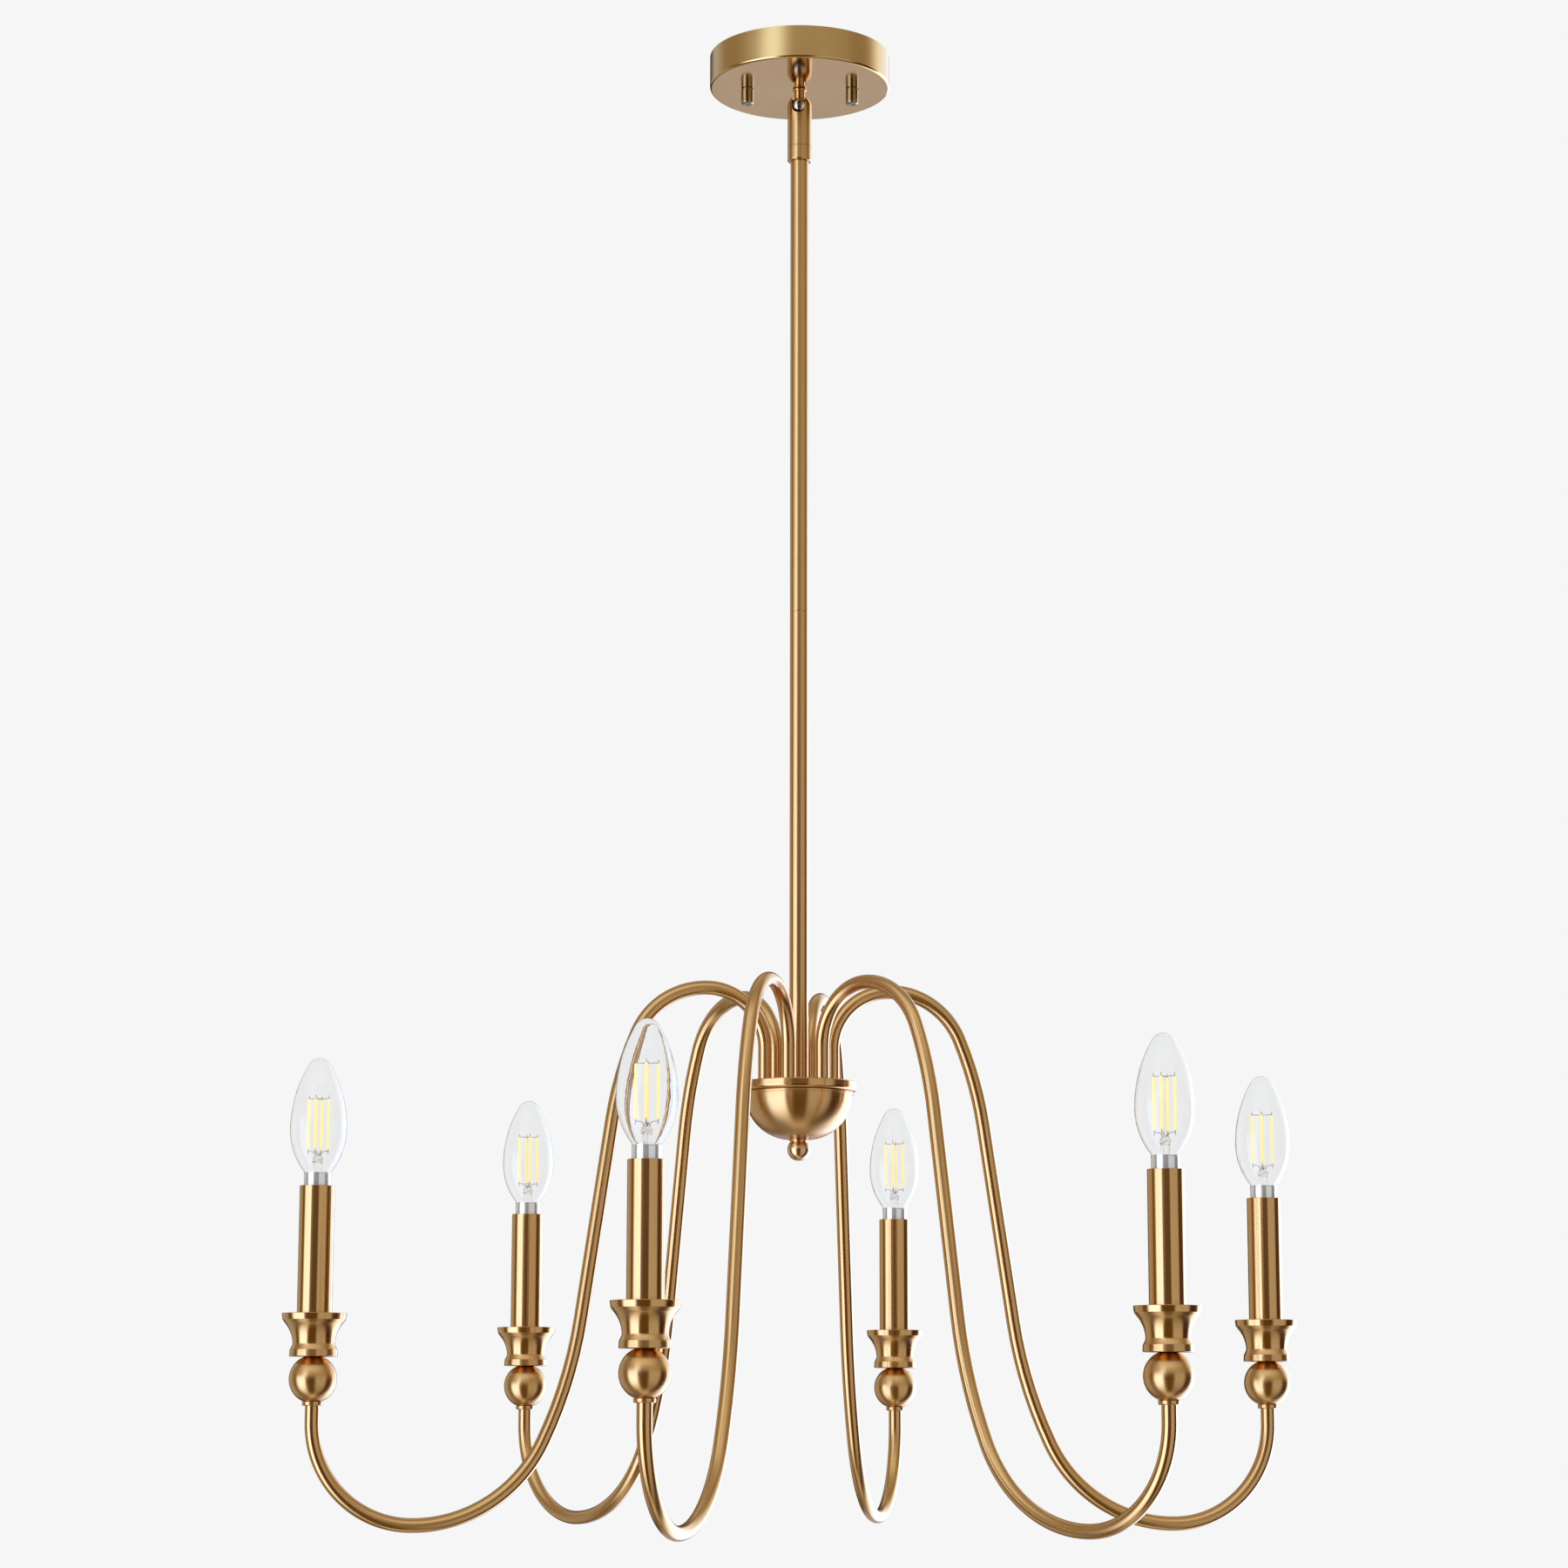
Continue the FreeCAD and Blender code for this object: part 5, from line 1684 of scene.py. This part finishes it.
ROOM = (
    Surround(-88.0, ((0, grey(0.85)),)),
    Surround(-68.0, (
        (-180, grey(0.28, 0.3)), (-150, grey(0.22, 0.3)), (-120, grey(0.24, 0.3)),
        (-96, grey(0.08, 0.9)), (-76, grey(0.30, 0.6)), (-64, grey(0.80)), (-36, grey(0.85)),
        (-26, grey(0.08, 1.0)), (18, grey(0.08, 1.0)), (30, grey(0.36, 0.2)),
        (62, grey(0.36, 0.2)), (76, grey(0.06, 2.0)), (104, grey(0.06, 2.0)),
        (122, grey(0.42, 0.1)), (150, grey(0.38, 0.2)), (166, grey(0.28, 0.3)),
        (180, grey(0.28, 0.3)),
    )),
    Surround(-24.0, (
        (-180, COOL_WALL), (-168, COOL_WALL), (-164, grey(0.08, 0.8)), (-150, grey(0.08, 0.8)),
        (-142, grey(0.50, -0.1)), (-103, grey(0.46, 0.0)), (-97, grey(0.15, 1.1)),
        (-82, grey(0.18, 1.0)), (-70, PANEL), (-32, PANEL), (-28, grey(0.15, 1.2)),
        (18, grey(0.15, 1.2)), (22, grey(0.56, -0.1)), (68, grey(0.54, -0.1)),
        (78, grey(0.06, 2.0)), (113, grey(0.06, 2.0)), (117, PANEL), (160, PANEL),
        (166, COOL_WALL), (180, COOL_WALL),
    )),
    Surround(3.0, (
        (-180, grey(0.03, 1.0)), (-152, grey(0.04, 1.0)), (-147, grey(0.52, -0.1)),
        (-103, grey(0.44, -0.1)), (-98, grey(0.19, 1.0)), (-82, grey(0.19, 1.0)),
        (-70, PANEL), (-31, PANEL), (-28.5, grey(0.06, 2.0)), (18, grey(0.06, 2.0)),
        (21, grey(0.60, -0.2)), (70, grey(0.56, -0.2)), (78, grey(0.06, 2.0)),
        (113, grey(0.06, 2.0)), (117, PANEL), (166, PANEL), (169, grey(0.04, 1.0)),
        (180, grey(0.03, 1.0)),
    )),
    Surround(18.0, (
        (-180, grey(0.05, 0.8)), (-155, grey(0.08, 0.6)), (-140, grey(0.56, -0.4)),
        (-126, grey(0.50, -0.2)), (-112, grey(0.34, 0.4)), (-74, grey(0.34, 0.4)),
        (-56, grey(0.44)), (-46, grey(1.0, -0.5)), (-30, grey(1.4, -0.9)),
        (-22, grey(1.0, -0.6)), (-12, grey(0.44, 0.15)), (60, grey(0.40, 0.15)),
        (75, grey(0.33, 0.4)), (98, grey(0.36, 0.3)), (108, grey(0.75)),
        (120, grey(1.2, -0.6)), (164, grey(1.2, -0.6)), (170, grey(0.08, 0.6)),
        (180, grey(0.05, 0.8)),
    )),
    Surround(50.0, (
        (-180, grey(0.6)), (-100, grey(0.25, 0.2)), (-60, grey(0.9, -0.2)),
        (0, grey(0.95, -0.3)), (50, grey(0.7)), (100, grey(0.25, 0.3)), (180, grey(0.6)),
    )),
    Surround(80.0, ((0, grey(0.42, 0.1)),)),
)


@dataclass
class Studio:
    """Pale room with soft panels, a floor under the fitting and one soft lamp."""

    backdrop: float = 0.922
    floor_drop: float = 0.37
    floor_radius: float = 9.0
    floor_levels: tuple[float, float] = (0.84, 0.88)
    mottle_scale: float = 6.0
    fade_start: float = 1.2
    fade_end: float = 6.0
    lamp_place: tuple[float, float, float] = (-1.8, -2.2, 0.9)
    lamp_aim: tuple[float, float, float] = (0.0, 0.0, -0.6)
    lamp_size: float = 1.8
    lamp_power: float = 12.0

    def light_world(self) -> None:
        """Set the world: a plain pale light, and for polished metal a room with soft panels."""
        world = bpy.data.worlds.new("pale_studio")
        bpy.context.scene.world = world
        world.use_nodes = True
        bench = Bench(world.node_tree)
        across, deep, up = bench.apart(bench.place("Generated"))
        azimuth = bench.math("ARCTAN2", across, bench.math("MULTIPLY", deep, -1.0))
        share = bench.math("ADD", bench.math("MULTIPLY", azimuth, 1 / (2 * math.pi)), 0.5)
        elevation = bench.math("MULTIPLY", bench.math("ARCSINE", up), 180 / math.pi)
        colour = ROOM[0].colour(bench, share)
        for low, high in zip(ROOM, ROOM[1:]):
            risen = bench.spread(elevation, 0.0, 1.0, low.elevation, high.elevation)
            colour = bench.blend(risen, colour, high.colour(bench, share))
        room = bench.add("ShaderNodeBackground", {"Color": colour, "Strength": 1.0})
        pale = {"Color": (*grey(self.backdrop), 1), "Strength": 1.0}
        plain = bench.add("ShaderNodeBackground", pale)
        path = bench.add("ShaderNodeLightPath").outputs
        unclear = bench.math("SUBTRACT", 1.0, path["Is Transmission Ray"])
        mirrored = bench.math("MULTIPLY", path["Is Glossy Ray"], unclear)
        inputs = {0: mirrored, 1: plain.outputs[0], 2: room.outputs[0]}
        bench.close(bench.add("ShaderNodeMixShader", inputs), "ShaderNodeOutputWorld")

    def lay_floor(self, lowest: float) -> None:
        """Lay a round pale floor whose rim fades into the backdrop.

        Args:
            lowest: Height of the fitting's lowest point.
        """
        mesh = bpy.data.meshes.new("studio_floor")
        work = bmesh.new()
        bmesh.ops.create_circle(work, cap_ends=True, segments=128, radius=self.floor_radius)
        work.to_mesh(mesh)
        work.free()
        floor = link(bpy.data.objects.new("studio_floor", mesh))
        floor.location.z = lowest - self.floor_drop
        material, bench = new_material("pale_floor")
        place = bench.place()
        distance = bench.add("ShaderNodeVectorMath", {0: place}, operation="LENGTH").outputs[1]
        mottle = bench.noise(place, self.mottle_scale, 5.0)
        colour = bench.blend(mottle, *((*grey(level), 1) for level in self.floor_levels))
        matt = bench.add("ShaderNodeBsdfDiffuse", {"Color": colour})
        pale = {"Color": (*grey(self.backdrop), 1), "Strength": 1.0}
        shining = bench.add("ShaderNodeEmission", pale)
        seen = bench.add("ShaderNodeLightPath").outputs["Is Camera Ray"]
        faded = bench.spread(distance, 0.0, 1.0, self.fade_start, self.fade_end)
        inputs = {0: bench.math("MULTIPLY", faded, seen), 1: matt.outputs[0]}
        inputs[2] = shining.outputs[0]
        bench.close(bench.add("ShaderNodeMixShader", inputs))
        mesh.materials.append(material)
        floor.visible_glossy = False
        floor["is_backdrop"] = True

    def hang_lamp(self) -> None:
        """Hang one large soft lamp up to the left, in front."""
        lamp = bpy.data.lights.new("soft_lamp", "AREA")
        lamp.shape = "DISK"
        lamp.size = self.lamp_size
        lamp.energy = self.lamp_power
        holder = bpy.data.objects.new("soft_lamp", lamp)
        holder.location = self.lamp_place
        aim = Vector(self.lamp_aim) - holder.location
        holder.rotation_euler = aim.to_track_quat("-Z", "Y").to_euler()
        holder.visible_glossy = False
        holder.visible_transmission = False
        link(holder)

    def build(self, lowest: float) -> None:
        """Set up the whole studio.

        Args:
            lowest: Height of the fitting's lowest point.
        """
        self.light_world()
        self.lay_floor(lowest)
        self.hang_lamp()


@dataclass
class Viewpoint:
    """Camera in front of the fitting, a little below its middle and looking slightly up."""

    lens: float = 86.294
    film_width: float = 36.0
    place: tuple[float, float, float] = (0.0, -2.3987, -0.9102)
    pitch: float = 9.849
    swing: float = 0.233
    roll: float = 0.09

    def build(self) -> None:
        """Make the scene's camera and set how colours are shown."""
        camera = bpy.data.cameras.new("viewpoint")
        camera.lens = self.lens
        camera.sensor_width = self.film_width
        holder = bpy.data.objects.new("viewpoint", camera)
        placed = Matrix.Translation(self.place)
        for angle, axis in ((self.swing, "Z"), (90 + self.pitch, "X"), (self.roll, "Z")):
            placed = placed @ Matrix.Rotation(math.radians(angle), 4, axis)
        holder.matrix_world = placed
        bpy.context.scene.camera = link(holder)
        bpy.context.scene.view_settings.view_transform = "Standard"


def main() -> None:
    """Build the fitting from the ceiling down, then the studio and the camera."""
    logging.basicConfig(level=logging.INFO, format="%(name)s: %(message)s")
    fitting = Fitting()
    assemblies = [kind(fitting) for kind in (CeilingPlate, Swivel, Rods, Hub)]
    for number in range(1, 7):
        assemblies += [kind(fitting, number) for kind in (Arm, Candle, Bulb)]
    for assembly in assemblies:
        assembly.build()
        for piece in assembly.pieces:
            faces = len(piece.data.polygons)
            log.info("%s: %s, %d faces", type(assembly).__name__, piece.name, faces)
    Studio().build(fitting.cad_box[0].z)
    Viewpoint().build()


if __name__ == "__main__":
    main()
